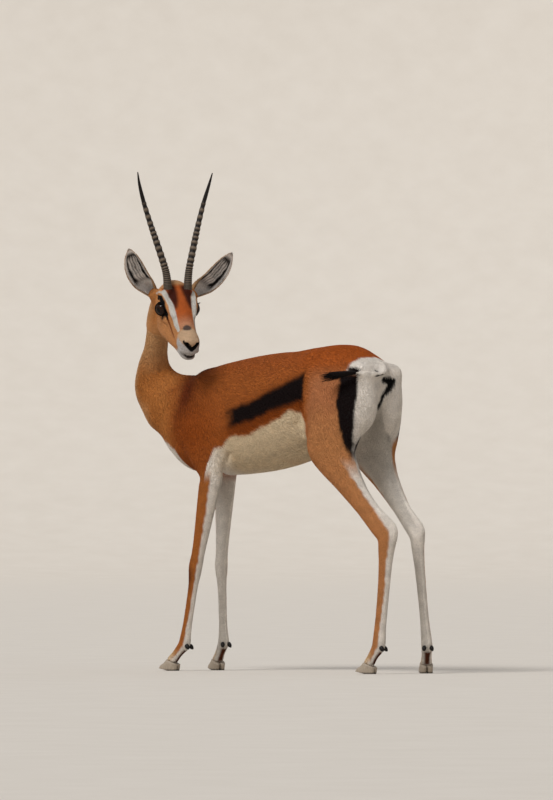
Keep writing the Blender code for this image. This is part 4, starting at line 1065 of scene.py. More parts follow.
# Face, in the head's own frame: half width of the blaze as (x, degrees), middle of the face as (x, y),
# and the level that the degrees turn round as (x, z)
BLAZE_EDGE = ((0.045, 37), (0.060, 35), (0.090, 31), (0.120, 30), (0.150, 33), (0.180, 40), (0.200, 46))
FACE_MIDDLE = ((0.000, 0.000), (0.050, 0.004), (0.100, 0.006), (0.140, 0.003), (0.180, 0.001))
SKULL_MIDDLE = ((0.0, 0.014), (0.055, 0.015), (0.080, 0.019), (0.105, 0.0255), (0.130, 0.034), (0.155, 0.043))
SKULL_MIDDLE += ((0.180, 0.048),)
# Strokes of the face, for one side: (x, y, z, radius)
TEAR_LINE = (
    (0.128, 0.040, 0.040, 0.0050), (0.111, 0.036, 0.030, 0.0042), (0.095, 0.033, 0.022, 0.0040),
    (0.083, 0.031, 0.015, 0.0032), (0.067, 0.029, 0.009, 0.0018),
)
WHITE_LINE = (
    (0.182, 0.043, 0.087, 0.0066), (0.156, 0.037, 0.080, 0.0070), (0.130, 0.032, 0.073, 0.0074),
    (0.108, 0.030, 0.060, 0.0080), (0.082, 0.027, 0.044, 0.0075), (0.059, 0.025, 0.038, 0.0050),
)
MASK_LINE = (
    (0.200, 0.024, 0.094, 0.016), (0.165, 0.021, 0.085, 0.014), (0.140, 0.019, 0.078, 0.010),
    (0.122, 0.020, 0.071, 0.005),
)
NOSE_LINE = (
    (-0.001, 0.0, 0.0140, 0.0055), (0.001, 0.007, 0.0205, 0.0062), (0.006, 0.014, 0.0275, 0.0066),
    (0.013, 0.020, 0.0300, 0.0042),
)
BROW_PATCH = (
    (0.188, 0.050, 0.064, 0.006), (0.168, 0.049, 0.071, 0.008), (0.148, 0.045, 0.067, 0.008),
    (0.134, 0.041, 0.054, 0.008), (0.129, 0.039, 0.040, 0.006), (0.123, 0.037, 0.034, 0.003),
)
BROW_LINE = (
    (0.222, 0.043, 0.030, 0.002), (0.208, 0.050, 0.060, 0.003), (0.190, 0.049, 0.079, 0.003),
    (0.172, 0.045, 0.085, 0.003),
)


def head_colours(place, shades, settings):
    """The face, from points in the head's own frame."""
    x, y, z = place.T
    uneven = ripple(place, 0.016, 6) * 0.0012 + ripple(place, 0.006, 7) * 0.0006
    middle = line_height(x, FACE_MIDDLE)
    rise = z - line_height(x, SKULL_MIDDLE)
    turn = np.degrees(np.arctan2(np.abs(y - middle), rise)) + uneven * 1500
    side = np.stack((x, np.abs(y), z), 1)
    tone = tint(shades["cheek"], shades["throat"], smooth(-z + uneven, 0.015, 0.045) * 0.6)
    tone = tint(tone, shades["neck"], smooth(x, 0.17, 0.22) * 0.6)
    tone = tint(tone, shades["poll"], smooth(x, 0.188, 0.215) * (1 - smooth(turn, 40, 70)))
    edge = line_height(x, BLAZE_EDGE)
    length = smooth(x + uneven, 0.050, 0.058) * (1 - smooth(x, 0.188, 0.205))
    blaze = (1 - smooth(turn, edge + 3, edge + 8)) * length
    white = stroke(side, WHITE_LINE, 0.0015)
    tone = tint(tone, shades["tear"], stroke(side, TEAR_LINE, 0.002))
    warm = tint(shades["blaze"], shades["muzzle"], 0.5 - 0.5 * smooth(x, 0.060, 0.105))
    tone = tint(tone, warm, blaze)
    tone = tint(tone, shades["mask"], stroke(side, MASK_LINE, 0.007) * blaze * 0.95)
    tone = tint(tone, shades["face_white"], white)
    tone = tint(tone, shades["muzzle"], (1 - smooth(x + uneven, 0.047, 0.056)) * (1 - smooth(turn, 58, 70)))
    spot = blob(np.stack((x, y - middle), 1), (0.052, 0), (0.0100, 0.0125))
    tone = tint(tone, shades["nose_spot"], smooth(spot, 0.25, 0.60) * (rise > 0))
    lips = (1 - smooth(x + uneven * 2 + 0.25 * np.clip(z, -1, 0), 0.040, 0.054)) * smooth(turn, 58, 72)
    tone = tint(tone, shades["muzzle_white"], lips)
    tone = tint(tone, shades["black"], stroke(side, NOSE_LINE, 0.0016))
    far, _ = line_distance(place, mouth_line())
    lower_lip = (1 - smooth(far, 0.0045, 0.0068)) * (z < -0.009 + 0.5 * x)
    lower_lip = lower_lip * (1 - smooth(np.abs(y), 0.012, 0.018))
    tone = tint(tone, shades["nose_spot"] * 0.35, lower_lip * 0.9)
    tone = tint(tone, shades["black"], (1 - smooth(far, 0.0012, 0.0028)) * 0.9)
    tone = tint(tone, shades["black"], stroke(side, BROW_PATCH, 0.0015))
    for way in (-1, 1):
        far, open_, _ = lid_shape(place, way, settings)
        close = far < settings.eye_radius * LID_REACH
        lower = smooth(open_, 1.44, 1.52) * (1 - smooth(open_, 1.60, 1.70)) * close * (z < EYE_LOCAL.z)
        tone = tint(tone, shades["throat"] * 1.1, lower * 0.8)
        tone = tint(tone, shades["black"], (1 - smooth(open_, 1.34, 1.50)) * close)
    return tint(tone, shades["face_white"], stroke(side, BROW_LINE, 0.0014) * 0.8)


def coat_colours(place, normal, head_share, settings):
    """The coat's colour at places of the animal's frame; skin and tufts both take it."""
    shades = palette()
    tone = trunk_colours(place, normal, shades)
    for leg in LEGS:
        fore = leg.startswith("fore")
        mine = (place[:, 0] < 0) == fore
        mine &= (place[:, 1] > 0) == leg.endswith("right")
        top = (0.500, 0.545) if fore else (0.500, 0.575)
        share = (1 - smooth(place[:, 2], *top)) * mine
        near = share > 0
        legs = leg_colours(place[near], leg, shades)
        tone[near] = tint(tone[near], legs, share[near])
    near = head_share > 0.02
    local = in_head(place[near])
    face = head_colours(local, shades, settings)
    share = head_share[near] * smooth(local[:, 0] * -1, -0.250, -0.205)
    share = np.where(local[:, 2] > 0.02, head_share[near], share)
    tone[near] = tint(tone[near], face, share)
    fine = 1 + 0.07 * ripple(place, 0.030, 8) + 0.06 * ripple(place, 0.009, 9)
    return np.clip(tone * fine[:, None], 0.002, 0.95)


def paint(mesh, colours, name="coat_colour"):
    layer = mesh.color_attributes.new(name, "FLOAT_COLOR", "POINT")
    full = np.ones((len(colours), 4), np.float32)
    full[:, :3] = colours
    layer.data.foreach_set("color", full.ravel())


# Waves a metre of the finest grain of hair, about 2.4 mm each
HAIR_GRAIN = 420.0


def hair_material(name, roughness, sheen, bump):
    """Short animal hair: its colour is painted on the points, with fine streaks and a soft sheen."""
    made, tree = new_material(name)
    place = add(tree, "ShaderNodeTexCoord")
    cells = {"Vector": place.outputs["Object"], "Scale": HAIR_GRAIN, "Detail": 3.0}
    noise = add(tree, "ShaderNodeTexNoise", None, cells)
    limits = {"From Min": 0.3, "From Max": 0.7, "To Min": 0.82, "To Max": 1.16}
    inputs = {
        "Base Color": grained(tree, noise.outputs["Fac"], limits),
        "Roughness": roughness,
        "Specular IOR Level": 0.05,
        "Sheen Weight": sheen,
        "Sheen Roughness": 0.4,
    }
    if bump:
        wave = {"Height": noise.outputs["Fac"], "Strength": bump, "Distance": 0.001}
        inputs["Normal"] = add(tree, "ShaderNodeBump", None, wave).outputs["Normal"]
    shader = add(tree, "ShaderNodeBsdfPrincipled", None, inputs)
    add(tree, "ShaderNodeOutputMaterial", None, {"Surface": shader.outputs[0]})
    return made


def grained(tree, grain, limits):
    """The colour painted on the points, made uneven by a grain."""
    shade = add(tree, "ShaderNodeAttribute", {"attribute_name": "coat_colour"})
    grey = add(tree, "ShaderNodeMapRange", None, {"Value": grain, **limits})
    layers = {0: 1.0, 6: shade.outputs["Color"], 7: grey.outputs["Result"]}
    mixed = add(tree, "ShaderNodeMix", {"data_type": "RGBA", "blend_type": "MULTIPLY"}, layers)
    return mixed.outputs[2]


def studio_material():
    """Matt painted board: a faint mottle keeps the floor from looking like flat colour."""
    made, tree = new_material("matt_studio_board")
    place = add(tree, "ShaderNodeTexCoord")
    mottle = {"Vector": place.outputs["Object"], "Scale": 6.0, "Detail": 4.0}
    noise = add(tree, "ShaderNodeTexNoise", None, mottle)
    ramp = add(tree, "ShaderNodeValToRGB", None, {"Fac": noise.outputs["Fac"]})
    ramp.color_ramp.elements[0].color = (*linear("#CFC6BA"), 1)
    ramp.color_ramp.elements[1].color = (*linear("#D8D0C5"), 1)
    shader = add(
        tree, "ShaderNodeBsdfPrincipled", None, {"Base Color": ramp.outputs["Color"], "Roughness": 0.9}
    )
    add(tree, "ShaderNodeOutputMaterial", None, {"Surface": shader.outputs[0]})
    return made


def horn_material():
    """Keratin sheath: lengthwise fibres and a dull finish over the colours painted on the points: black
    grooves, grey crests that are partly wear and partly a painted highlight, and a black tip.
    """
    made, tree = new_material("horn_keratin")
    place = add(tree, "ShaderNodeTexCoord")
    fibres = {"Vector": place.outputs["Object"], "Scale": (900, 900, 60)}
    stretch = add(tree, "ShaderNodeMapping", None, fibres)
    noise = add(tree, "ShaderNodeTexNoise", None, {"Vector": stretch.outputs[0], "Scale": 1.0, "Detail": 3.0})
    wave = {"Height": noise.outputs["Fac"], "Strength": 0.35, "Distance": 0.0006}
    inputs = {
        "Base Color": grained(tree, noise.outputs["Fac"], {"To Min": 0.6, "To Max": 1.4}),
        "Roughness": 0.5,
        "Specular IOR Level": 0.22,
        "Normal": add(tree, "ShaderNodeBump", None, wave).outputs["Normal"],
    }
    shader = add(tree, "ShaderNodeBsdfPrincipled", None, inputs)
    add(tree, "ShaderNodeOutputMaterial", None, {"Surface": shader.outputs[0]})
    return made


def eye_material():
    """Living eye: dark iris under a clear wet cornea, so that it gives one sharp reflection."""
    made, tree = new_material("wet_eye")
    place = add(tree, "ShaderNodeTexCoord")
    noise = add(tree, "ShaderNodeTexNoise", None, {"Vector": place.outputs["Object"], "Scale": 900.0})
    inputs = {
        "Base Color": grained(tree, noise.outputs["Fac"], {"To Min": 0.7, "To Max": 1.3}),
        "Roughness": 0.4,
        "Specular IOR Level": 0.0,
        "Coat Weight": 0.35,
        "Coat Roughness": 0.03,
    }
    shader = add(tree, "ShaderNodeBsdfPrincipled", None, inputs)
    add(tree, "ShaderNodeOutputMaterial", None, {"Surface": shader.outputs[0]})
    return made


# Lie of the coat on the body: (x, y, z, way, reach); sides are mirrored
BODY_LIE = (
    ((-0.15, 0.06, 0.83), (1.0, 0.0, -0.05), 0.12), ((0.10, 0.05, 0.86), (1.0, 0.0, -0.05), 0.12),
    ((-0.10, 0.10, 0.70), (1.0, 0.0, -0.35), 0.10), ((0.05, 0.10, 0.72), (1.0, 0.0, -0.25), 0.10),
    ((-0.05, 0.06, 0.56), (1.0, 0.0, 0.0), 0.08), ((-0.30, 0.08, 0.70), (0.45, 0.0, -1.0), 0.08),
    ((-0.28, 0.07, 0.58), (0.25, 0.0, -1.0), 0.08), ((-0.40, 0.06, 0.70), (0.5, 0.0, -1.0), 0.07),
    ((-0.38, 0.02, 0.78), (1.0, 0.0, -0.3), 0.06), ((-0.46, 0.03, 0.62), (0.5, 0.0, -1.0), 0.07),
    ((0.20, 0.09, 0.72), (0.45, 0.0, -1.0), 0.09), ((0.20, 0.09, 0.60), (0.55, 0.0, -1.0), 0.08),
    ((0.27, 0.04, 0.84), (0.9, 0.2, -0.6), 0.06), ((0.31, 0.05, 0.74), (0.0, 0.1, -1.0), 0.06),
    ((0.29, 0.07, 0.62), (0.2, 0.0, -1.0), 0.07),
)


def lie_of_coat(place, normal, head_share):
    """The way the hair lies at each place, along the skin."""
    total = np.zeros_like(place)
    for centre, way, reach in BODY_LIE:
        for side in (-1, 1):
            weight = blob(place, (centre[0], centre[1] * side, centre[2]), (reach,) * 3)
            total += weight[:, None] * np.array((way[0], way[1] * side, way[2]))
    neck = NECK_LINE + ((-0.44, -0.01, 0.70),)
    for high, low in zip(neck[:-1], neck[1:]):
        middle = (np.array(high) + np.array(low)) / 2
        total += blob(place, middle, (0.06,) * 3)[:, None] * (np.array(low) - np.array(high)) / 0.05 * 1.5
    for joints in LEGS.values():
        for high, low in zip(joints[1:-1], joints[2:]):
            way = np.array(low) - np.array(high)
            steps = max(int(np.linalg.norm(way) / 0.05), 1)
            for step in range(steps + 1):
                middle = np.array(high) + way * step / steps
                total += blob(place, middle, (0.045,) * 3)[:, None] * way / np.linalg.norm(way)
    tail = np.array(TAIL_LINE)[:, :3]
    for high, low in zip(tail[:-1], tail[1:]):
        way = (low - high) / np.linalg.norm(low - high)
        total += blob(place, (high + low) / 2, (0.022,) * 3)[:, None] * way * 2
    turn = np.array(head_matrix())[:3, :3]
    local = in_head(place)
    fall = -0.5 * smooth(-local[:, 2], -0.06, 0.03)
    way = np.stack((np.ones(len(place)), np.sign(local[:, 1]) * 0.25, fall), 1)
    total = total * (1 - head_share)[:, None] + (way @ turn.T) * head_share[:, None]
    total -= normal * (total * normal).sum(1)[:, None]
    return total / np.maximum(np.linalg.norm(total, axis=1), 1e-9)[:, None]


def coat_sizes(place, head_share, sizes):
    """Length of the tufts, their width and how far they stand off, at each place."""
    z = place[:, 2]
    low = 1 - smooth(z, 0.42, 0.60)
    length = sizes.body_length * (1 - low) + sizes.leg_length * low
    length = length + 0.003 * blob(place * (1, 0, 1), (-0.46, 0, 0.64), (0.08, 1, 0.08))
    length = length + 0.003 * blob(place, (-0.05, 0, 0.53), (0.25, 0.09, 0.05))
    for side in ("left", "right"):
        knee = np.array(LEGS["fore_" + side][2]) + (-0.012, 0.0, -0.020)
        length = length + 0.006 * blob(place, knee, (0.018, 0.022, 0.030))
    local = in_head(place)
    face = sizes.face_length * (0.45 + 0.75 * smooth(local[:, 0], 0.01, 0.20))
    length = length * (1 - head_share) + face * head_share
    width = 0.0002 + length * 0.10
    rise = 0.0002 + length * 0.09
    return length, width, rise


def skin_samples(mesh, count, density, rng):
    """Roots spread over a skin: places, normals and head shares, packed by a density at each corner point."""
    mesh.calc_loop_triangles()
    corners = np.empty(len(mesh.loop_triangles) * 3, np.int32)
    mesh.loop_triangles.foreach_get("vertices", corners)
    corners = corners.reshape(-1, 3)
    points = points_of(mesh)
    normals = normals_of(mesh)
    a, b, c = (points[corners[:, i]] for i in range(3))
    area = np.linalg.norm(np.cross(b - a, c - a), axis=1) / 2 * density[corners].mean(1)
    order = np.lexsort((a[:, 2].round(2), a[:, 0].round(2)))
    total = np.cumsum(area[order])
    marks = (np.arange(count) + rng.uniform(0, 1, count)) / count * total[-1]
    chosen = order[np.searchsorted(total, marks)]
    u = np.sqrt(rng.uniform(0, 1, count))
    v = rng.uniform(0, 1, count)
    shares = np.stack((1 - u, u * (1 - v), u * v), 1)
    pick = corners[chosen]
    place = (points[pick] * shares[:, :, None]).sum(1)
    normal = (normals[pick] * shares[:, :, None]).sum(1)
    normal /= np.maximum(np.linalg.norm(normal, axis=1), 1e-9)[:, None]
    return place, normal, pick, shares


def tufts(root, normal, way, length, width, rise, sink):
    """Corner points of closed, bent tufts: root, left, right, ridge and tip."""
    aside = np.cross(normal, way)
    middle = root + way * (length * 0.45)[:, None] + normal * (rise * 0.75)[:, None]
    half = aside * (width / 2)[:, None]
    ridge = middle + normal * (width * 0.30)[:, None]
    tip = root + way * length[:, None] + normal * rise[:, None]
    start = root - normal * sink
    return np.stack((start, middle - half, middle + half, ridge, tip), 1)


# How deep a tuft's root goes into the skin, and the shade of its root, left, right, ridge and tip
TUFT_SINK = 0.0003
TUFT_SHADES = (0.86, 0.97, 0.97, 1.0, 1.07)
TUFT_FACES = np.array(((0, 3, 1), (0, 2, 3), (0, 1, 2), (4, 1, 3), (4, 3, 2), (4, 2, 1)))
TUFT_PATCH = np.array(((0.0, -1.0), (-0.7, 0.1), (0.7, 0.1), (0.0, 0.2), (0.0, 1.0))) * 0.0015


def tuft_mesh(name, corners, colours, unwrap, coat, faces=TUFT_FACES, patch=TUFT_PATCH):
    """One object of many tufts, each a patch on the unwrap at its root's place."""
    count, size = corners.shape[:2]
    mesh = bpy.data.meshes.new(name)
    mesh.vertices.add(count * size)
    mesh.vertices.foreach_set("co", corners.astype(np.float32).ravel())
    index = (faces[None] + (np.arange(count) * size)[:, None, None]).reshape(-1).astype(np.int32)
    mesh.loops.add(len(index))
    mesh.loops.foreach_set("vertex_index", index)
    mesh.polygons.add(len(index) // 3)
    mesh.polygons.foreach_set("loop_start", np.arange(0, len(index), 3, dtype=np.int32))
    mesh.update(calc_edges=True)
    paint(mesh, colours.reshape(-1, 3))
    layer = mesh.uv_layers.new(name="OFBake")
    places = (unwrap[:, None, :] + patch[None]).reshape(-1, 2)
    layer.data.foreach_set("uv", places[index].astype(np.float32).ravel())
    return placed(mesh, name, coat)


def unwrapped(place, head_share):
    """Places of the skin on its own flat plan: trunk, neck, head and each leg in a box of its own."""
    x, y, z = place.T
    turn = np.arctan2(y, z - 0.70) / (2 * math.pi) + 0.5
    plan = np.stack(((x + 0.56) / 0.98 * 0.60, 0.50 + turn * 0.48), 1)
    neck = (x < -0.36) & (z > 0.76)
    turn = np.arctan2(y + 0.05, -(x + 0.46)) / (2 * math.pi) + 0.5
    plan = np.where(neck[:, None], np.stack((0.64 + turn * 0.33, 0.50 + (z - 0.76) / 0.26 * 0.2), 1), plan)
    local = in_head(place)
    turn = np.arctan2(local[:, 1], local[:, 2] - 0.035) / (2 * math.pi) + 0.5
    head = np.stack((0.64 + turn * 0.33, 0.73 + (local[:, 0] + 0.02) / 0.30 * 0.25), 1)
    plan = np.where((head_share > 0.5)[:, None], head, plan)
    for number, leg in enumerate(LEGS):
        fore = leg.startswith("fore")
        mine = ((x < 0) == fore) & ((y > 0) == leg.endswith("right")) & (z < 0.52)
        _, angle = leg_place(place, leg)
        spot = np.stack((0.02 + number * 0.245 + (angle / 360 + 0.5) * 0.20, z / 0.52 * 0.46 + 0.01), 1)
        plan = np.where(mine[:, None], spot, plan)
    return np.clip(plan, 0.002, 0.998)


# Rings of the horns: count, faces between crests, faces round, height, first one and growth of the gaps
HORN_CRESTS = 28
HORN_STEPS = 7
HORN_SIDES = 40
HORN_CREST_HEIGHT = 0.0017
HORN_FIRST_CREST = 0.055
HORN_GAP_GROWTH = 3.2
HORN_PLAIN_STEPS = 30
# Colours of the grooves, the crests and the tip; the grey of the crests is partly wear and partly a painted
# highlight on the rings.
HORN_SHADES = {"groove": "#0C0705", "worn_and_lit_crest": "#7C6C5B", "tip": "#120B08"}


def horn_crests():
    """Shares of the horn's length at which its rings stand, close at the base and wider apart above."""
    gaps = [HORN_GAP_GROWTH ** (step / (HORN_CRESTS - 1)) for step in range(HORN_CRESTS)]
    reach = HORN_RINGED_SHARE - HORN_FIRST_CREST
    return [HORN_FIRST_CREST + reach * sum(gaps[:step]) / sum(gaps) for step in range(HORN_CRESTS + 1)]


def wound(bm, sides, steps, place):
    """A closed skin whose corners a function places from the turn round it and the share along it."""
    made = bmesh.ops.create_grid(bm, x_segments=sides, y_segments=steps, size=1)["verts"]
    for vert in made:
        vert.co = place(math.pi * (vert.co.x + 1), min(max((vert.co.y + 1) / 2, 0), 1))
    bmesh.ops.remove_doubles(bm, verts=made, dist=1e-6)
    rims = [e for e in {e for v in made if v.is_valid for e in v.link_edges} if e.is_boundary]
    bmesh.ops.holes_fill(bm, edges=rims, sides=0)


def nearest_marks(obj, marks):
    """For each point of a finished object, the mark that was made at its place."""
    tree = KDTree(len(marks))
    for index, mark in enumerate(marks):
        tree.insert(mark[0], index)
    tree.balance()
    return [marks[tree.find(v.co - STANCE_SHIFT)[1]] for v in obj.data.vertices]


def build_horn(side, coat):
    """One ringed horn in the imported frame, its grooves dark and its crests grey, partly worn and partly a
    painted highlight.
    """
    centres = [Vector((-h[2], side * (HORN_SPREAD + h[1]), h[0])) for h in HORN_LINE]
    radii = [h[3] for h in HORN_LINE]
    last = len(centres) - 1
    crests = horn_crests()
    name = "horn_" + ("right" if side > 0 else "left")
    shades = []

    def place(turn, share):
        centre = spline(centres, share * last)
        above = spline(centres, min(share + 0.01, 1) * last)
        along = (above - spline(centres, max(share - 0.01, 0) * last)).normalized()
        front = (Vector((-1, 0, 0)) + along * along.x).normalized()
        phase = float(np.interp(share, crests, range(len(crests)), left=0.5, right=HORN_CRESTS + 0.5)) % 1
        ringed = share < HORN_RINGED_SHARE + 0.02
        ridge = (0.5 + 0.5 * math.cos(2 * math.pi * phase**0.75)) if ringed else 0.3
        fade = 0.75 + 0.55 * math.sin(math.pi * min(share / 0.8, 1))
        swell = HORN_CREST_HEIGHT * (ridge - 0.35) * fade * (0.65 + 0.35 * math.cos(turn))
        reach = spline(radii, share * last) + (swell if ringed else 0)
        aside = along.cross(front) * math.sin(turn) * reach * 0.94
        spot = centre + front * math.cos(turn) * reach * 1.06 + aside
        shades.append((upright_matrix() @ spot, ridge, share))
        return spot

    bm = bmesh.new()
    wound(bm, HORN_SIDES, HORN_CRESTS * HORN_STEPS + HORN_PLAIN_STEPS, place)
    bm.transform(upright_matrix())
    obj = finished(bm, name + "_sheath", coat)
    # Painted highlight: crests are painted from black towards grey by their height, partly as wear; towards
    # the tip all goes to black.
    low, high, tip = (np.array(linear(HORN_SHADES[key])) for key in ("groove", "worn_and_lit_crest", "tip"))
    tones = []
    for _, ridge, share in nearest_marks(obj, shades):
        tone = low + (high - low) * max(ridge, 0) ** 1.5 * (1 - 0.3 * share)
        tones.append(tone + (tip - tone) * min(max((share - 0.72) / 0.06, 0), 1))
    paint(obj.data, np.array(tones))
    return worn(obj, "horn_sheath", name)


def ear_frame(side):
    """An ear's root, reach and its three ways, in the level frame of the head."""
    name = "right" if side > 0 else "left"
    root = upright_matrix().inverted() @ head_matrix() @ mirrored(EAR_ROOT_LOCAL, side)
    out, ahead, up = EAR_REACH[name]
    reach = Vector((-ahead, side * out, up))
    along = reach.normalized()
    facing = Vector((-0.86, side * EAR_OPENING[name], 0.10))
    facing = (facing - along * facing.dot(along)).normalized()
    return root, reach, along, facing, along.cross(facing)


def ear_point(side, share, run, stand):
    """A place on an ear: share of its length, run from rim to rim (-1 to 1), stand from its middle wall."""
    root, reach, along, facing, across = ear_frame(side)
    half = float(np.interp(share, EAR_FINE[0], EAR_FINE[1]))
    spread = math.radians(EAR_ROOT_SPREAD - EAR_SPREAD_LOSS * min(share / EAR_OPEN_SHARE, 1))
    radius = half / math.sin(min(spread, math.pi / 2))
    angle = spread * run
    size = radius + stand
    bulge = across * side * EAR_BULGE * math.sin(share * math.pi)
    core = root + along * reach.length * share - bulge
    lift = radius * math.cos(spread)
    return core + across * math.sin(angle) * size - facing * (math.cos(angle) * size - lift)


def fine_ear_sizes():
    shares = [e[0] for e in EAR_SIZES]
    widths = [e[1] for e in EAR_SIZES]
    fine = np.linspace(0, 1, 101)
    half = []
    for share in fine:
        place = min(int(np.searchsorted(shares, share, side="right")) - 1, len(shares) - 2)
        half.append(spline(widths, place + (share - shares[place]) / (shares[place + 1] - shares[place])))
    return fine, np.array(half)


EAR_FINE = fine_ear_sizes()
# Half turn of the ear's cup at its root, and how much it opens by EAR_OPEN_SHARE of the length
EAR_ROOT_SPREAD = 152
EAR_SPREAD_LOSS = 92
EAR_OPEN_SHARE = 0.45
EAR_HAIRS = 5200
# Pale streaks inside the ear: (run from rim to rim, half width)
EAR_STREAKS = ((-0.47, 0.12), (-0.12, 0.10), (0.24, 0.11), (0.52, 0.07))


def ear_tones(share, run, outer):
    """Colours of an ear: tan back, pale edges and roots, and black between pale streaks inside."""
    shades = palette()
    count = len(share)
    wave = np.sin(share * 37 + run * 5) * 0.03
    dark = smooth(share, 0.20, 0.34) * (1 - smooth(share, 0.84, 0.95)) * (1 - smooth(np.abs(run), 0.60, 0.80))
    pale = np.zeros(count)
    for middle, wide in EAR_STREAKS:
        pale = np.maximum(pale, np.exp(-(((run - middle * (0.35 + 0.65 * share) + wave) / wide) ** 2)))
    pale *= smooth(share, 0.22, 0.40) * (1 - smooth(share, 0.74, 0.86))
    tone = tint(shades["ear_white"], shades["ear_dark"], dark * (1 - 0.85 * pale))
    border = np.exp(-(((run - 0.86) / 0.05) ** 2)) * smooth(share, 0.3, 0.5)
    tone = tint(tone, shades["ear_dark"], border * 0.7)
    tone = tint(tone, shades["ear_back"], smooth(np.abs(run), 0.94, 0.99))
    tone = tint(tone, shades["ear_dark"], smooth(share, 0.93, 0.99) * 0.6)
    return np.where(np.asarray(outer)[:, None], shades["ear_back"], tone)


def build_ear(side, coat):
    """One cupped ear, painted inside and out, with hair over its faces and along its rim."""
    name = "ear_" + ("right" if side > 0 else "left")
    marks = []

    def place(turn, share):
        around = turn / (2 * math.pi)
        outer = around < 0.5
        run = max(min(around * 4 - 1 if outer else 3 - around * 4, 1), -1)
        thick = EAR_THICKNESS * (1 - 0.6 * share) / 2
        stand = 0 if abs(run) > 0.999 else (thick if outer else -thick)
        if not outer:
            rib = math.exp(-(((abs(run) - 0.35) / 0.12) ** 2))
            stand -= 0.0007 * rib * math.sin(min(share * 1.2, 1) * math.pi)
        spot = ear_point(side, share, run, stand)
        marks.append((upright_matrix() @ spot, share, run, outer))
        return spot

    bm = bmesh.new()
    wound(bm, 112, 64, place)
    bm.transform(upright_matrix())
    ear = finished(bm, name + "_skin", coat)
    found = nearest_marks(ear, marks)
    share, run, outer = (np.array([m[i] for m in found]) for i in (1, 2, 3))
    paint(ear.data, ear_tones(share, run, outer))
    worn(ear, "pale_coat", name)
    rng = np.random.default_rng(11 + side)
    count = EAR_HAIRS
    share = rng.uniform(0.03, 0.985, count)
    run = rng.uniform(-1, 1, count)
    rim = np.arange(count) < count // 4
    run = np.where(rim, np.sign(run) * (1 - np.abs(rng.normal(0, 0.02, count))), run)
    outer = (np.arange(count) % 2 == 0) & ~rim
    roots, normals, ways = [], [], []
    turn = upright_matrix()
    for one, two, out in zip(share, run, outer):
        thick = EAR_THICKNESS * (1 - 0.6 * one) / 2
        here = ear_point(side, one, two, thick if out else -thick)
        above = ear_point(side, one, two, 0.004 if out else -0.004)
        ahead = ear_point(side, min(one + 0.03, 1), two * 0.98, thick if out else -thick)
        roots.append(turn @ here)
        normals.append((turn.to_3x3() @ (above - here)).normalized())
        ways.append((turn.to_3x3() @ (ahead - here)).normalized())
    roots, normals, ways = (np.array(v) for v in (roots, normals, ways))
    ways -= normals * (ways * normals).sum(1)[:, None]
    ways += np.cross(normals, ways) * rng.normal(0, 0.18, count)[:, None]
    ways /= np.linalg.norm(ways, axis=1)[:, None]
    length = np.where(outer, 0.0050, np.where(rim, 0.0055, 0.0090)) * rng.uniform(0.7, 1.2, count)
    length *= 1 - 0.45 * smooth(share, 0.75, 1.0)
    corners = tufts(roots, normals, ways, length, 0.0004 + length * 0.06, length * 0.10, TUFT_SINK)
    tones = ear_tones(share, run, outer) * rng.uniform(0.85, 1.12, count)[:, None]
    colours = np.clip(tones[:, None, :] * np.array((0.9, 1, 1, 1, 1.08))[None, :, None], 0.001, 0.95)
    plan = np.stack((0.05 + 0.9 * (share * 0.5 + outer * 0.5), 0.05 + 0.9 * (run + 1) / 2), 1)
    hair = tuft_mesh(name + "_hair", corners + np.array(STANCE_SHIFT), colours, plan, coat)
    return worn(hair, "pale_coat")


# Half length and half height of the pupil, radius of the iris, and the lashes of the upper lid
PUPIL = (0.0062, 0.0042)
IRIS_RADIUS = 0.0105
PUPIL_BLACK = "#040302"
IRIS_BROWN = "#2A150A"
LASHES = 30
LASH_LENGTH = 0.0105
LASH_BLACK = "#0A0605"
# Rings along a lash: (share of its length, radius)
LASH_RINGS = ((0, 0.00032), (0.4, 0.00028), (0.75, 0.00018), (1.0, 0.00005))


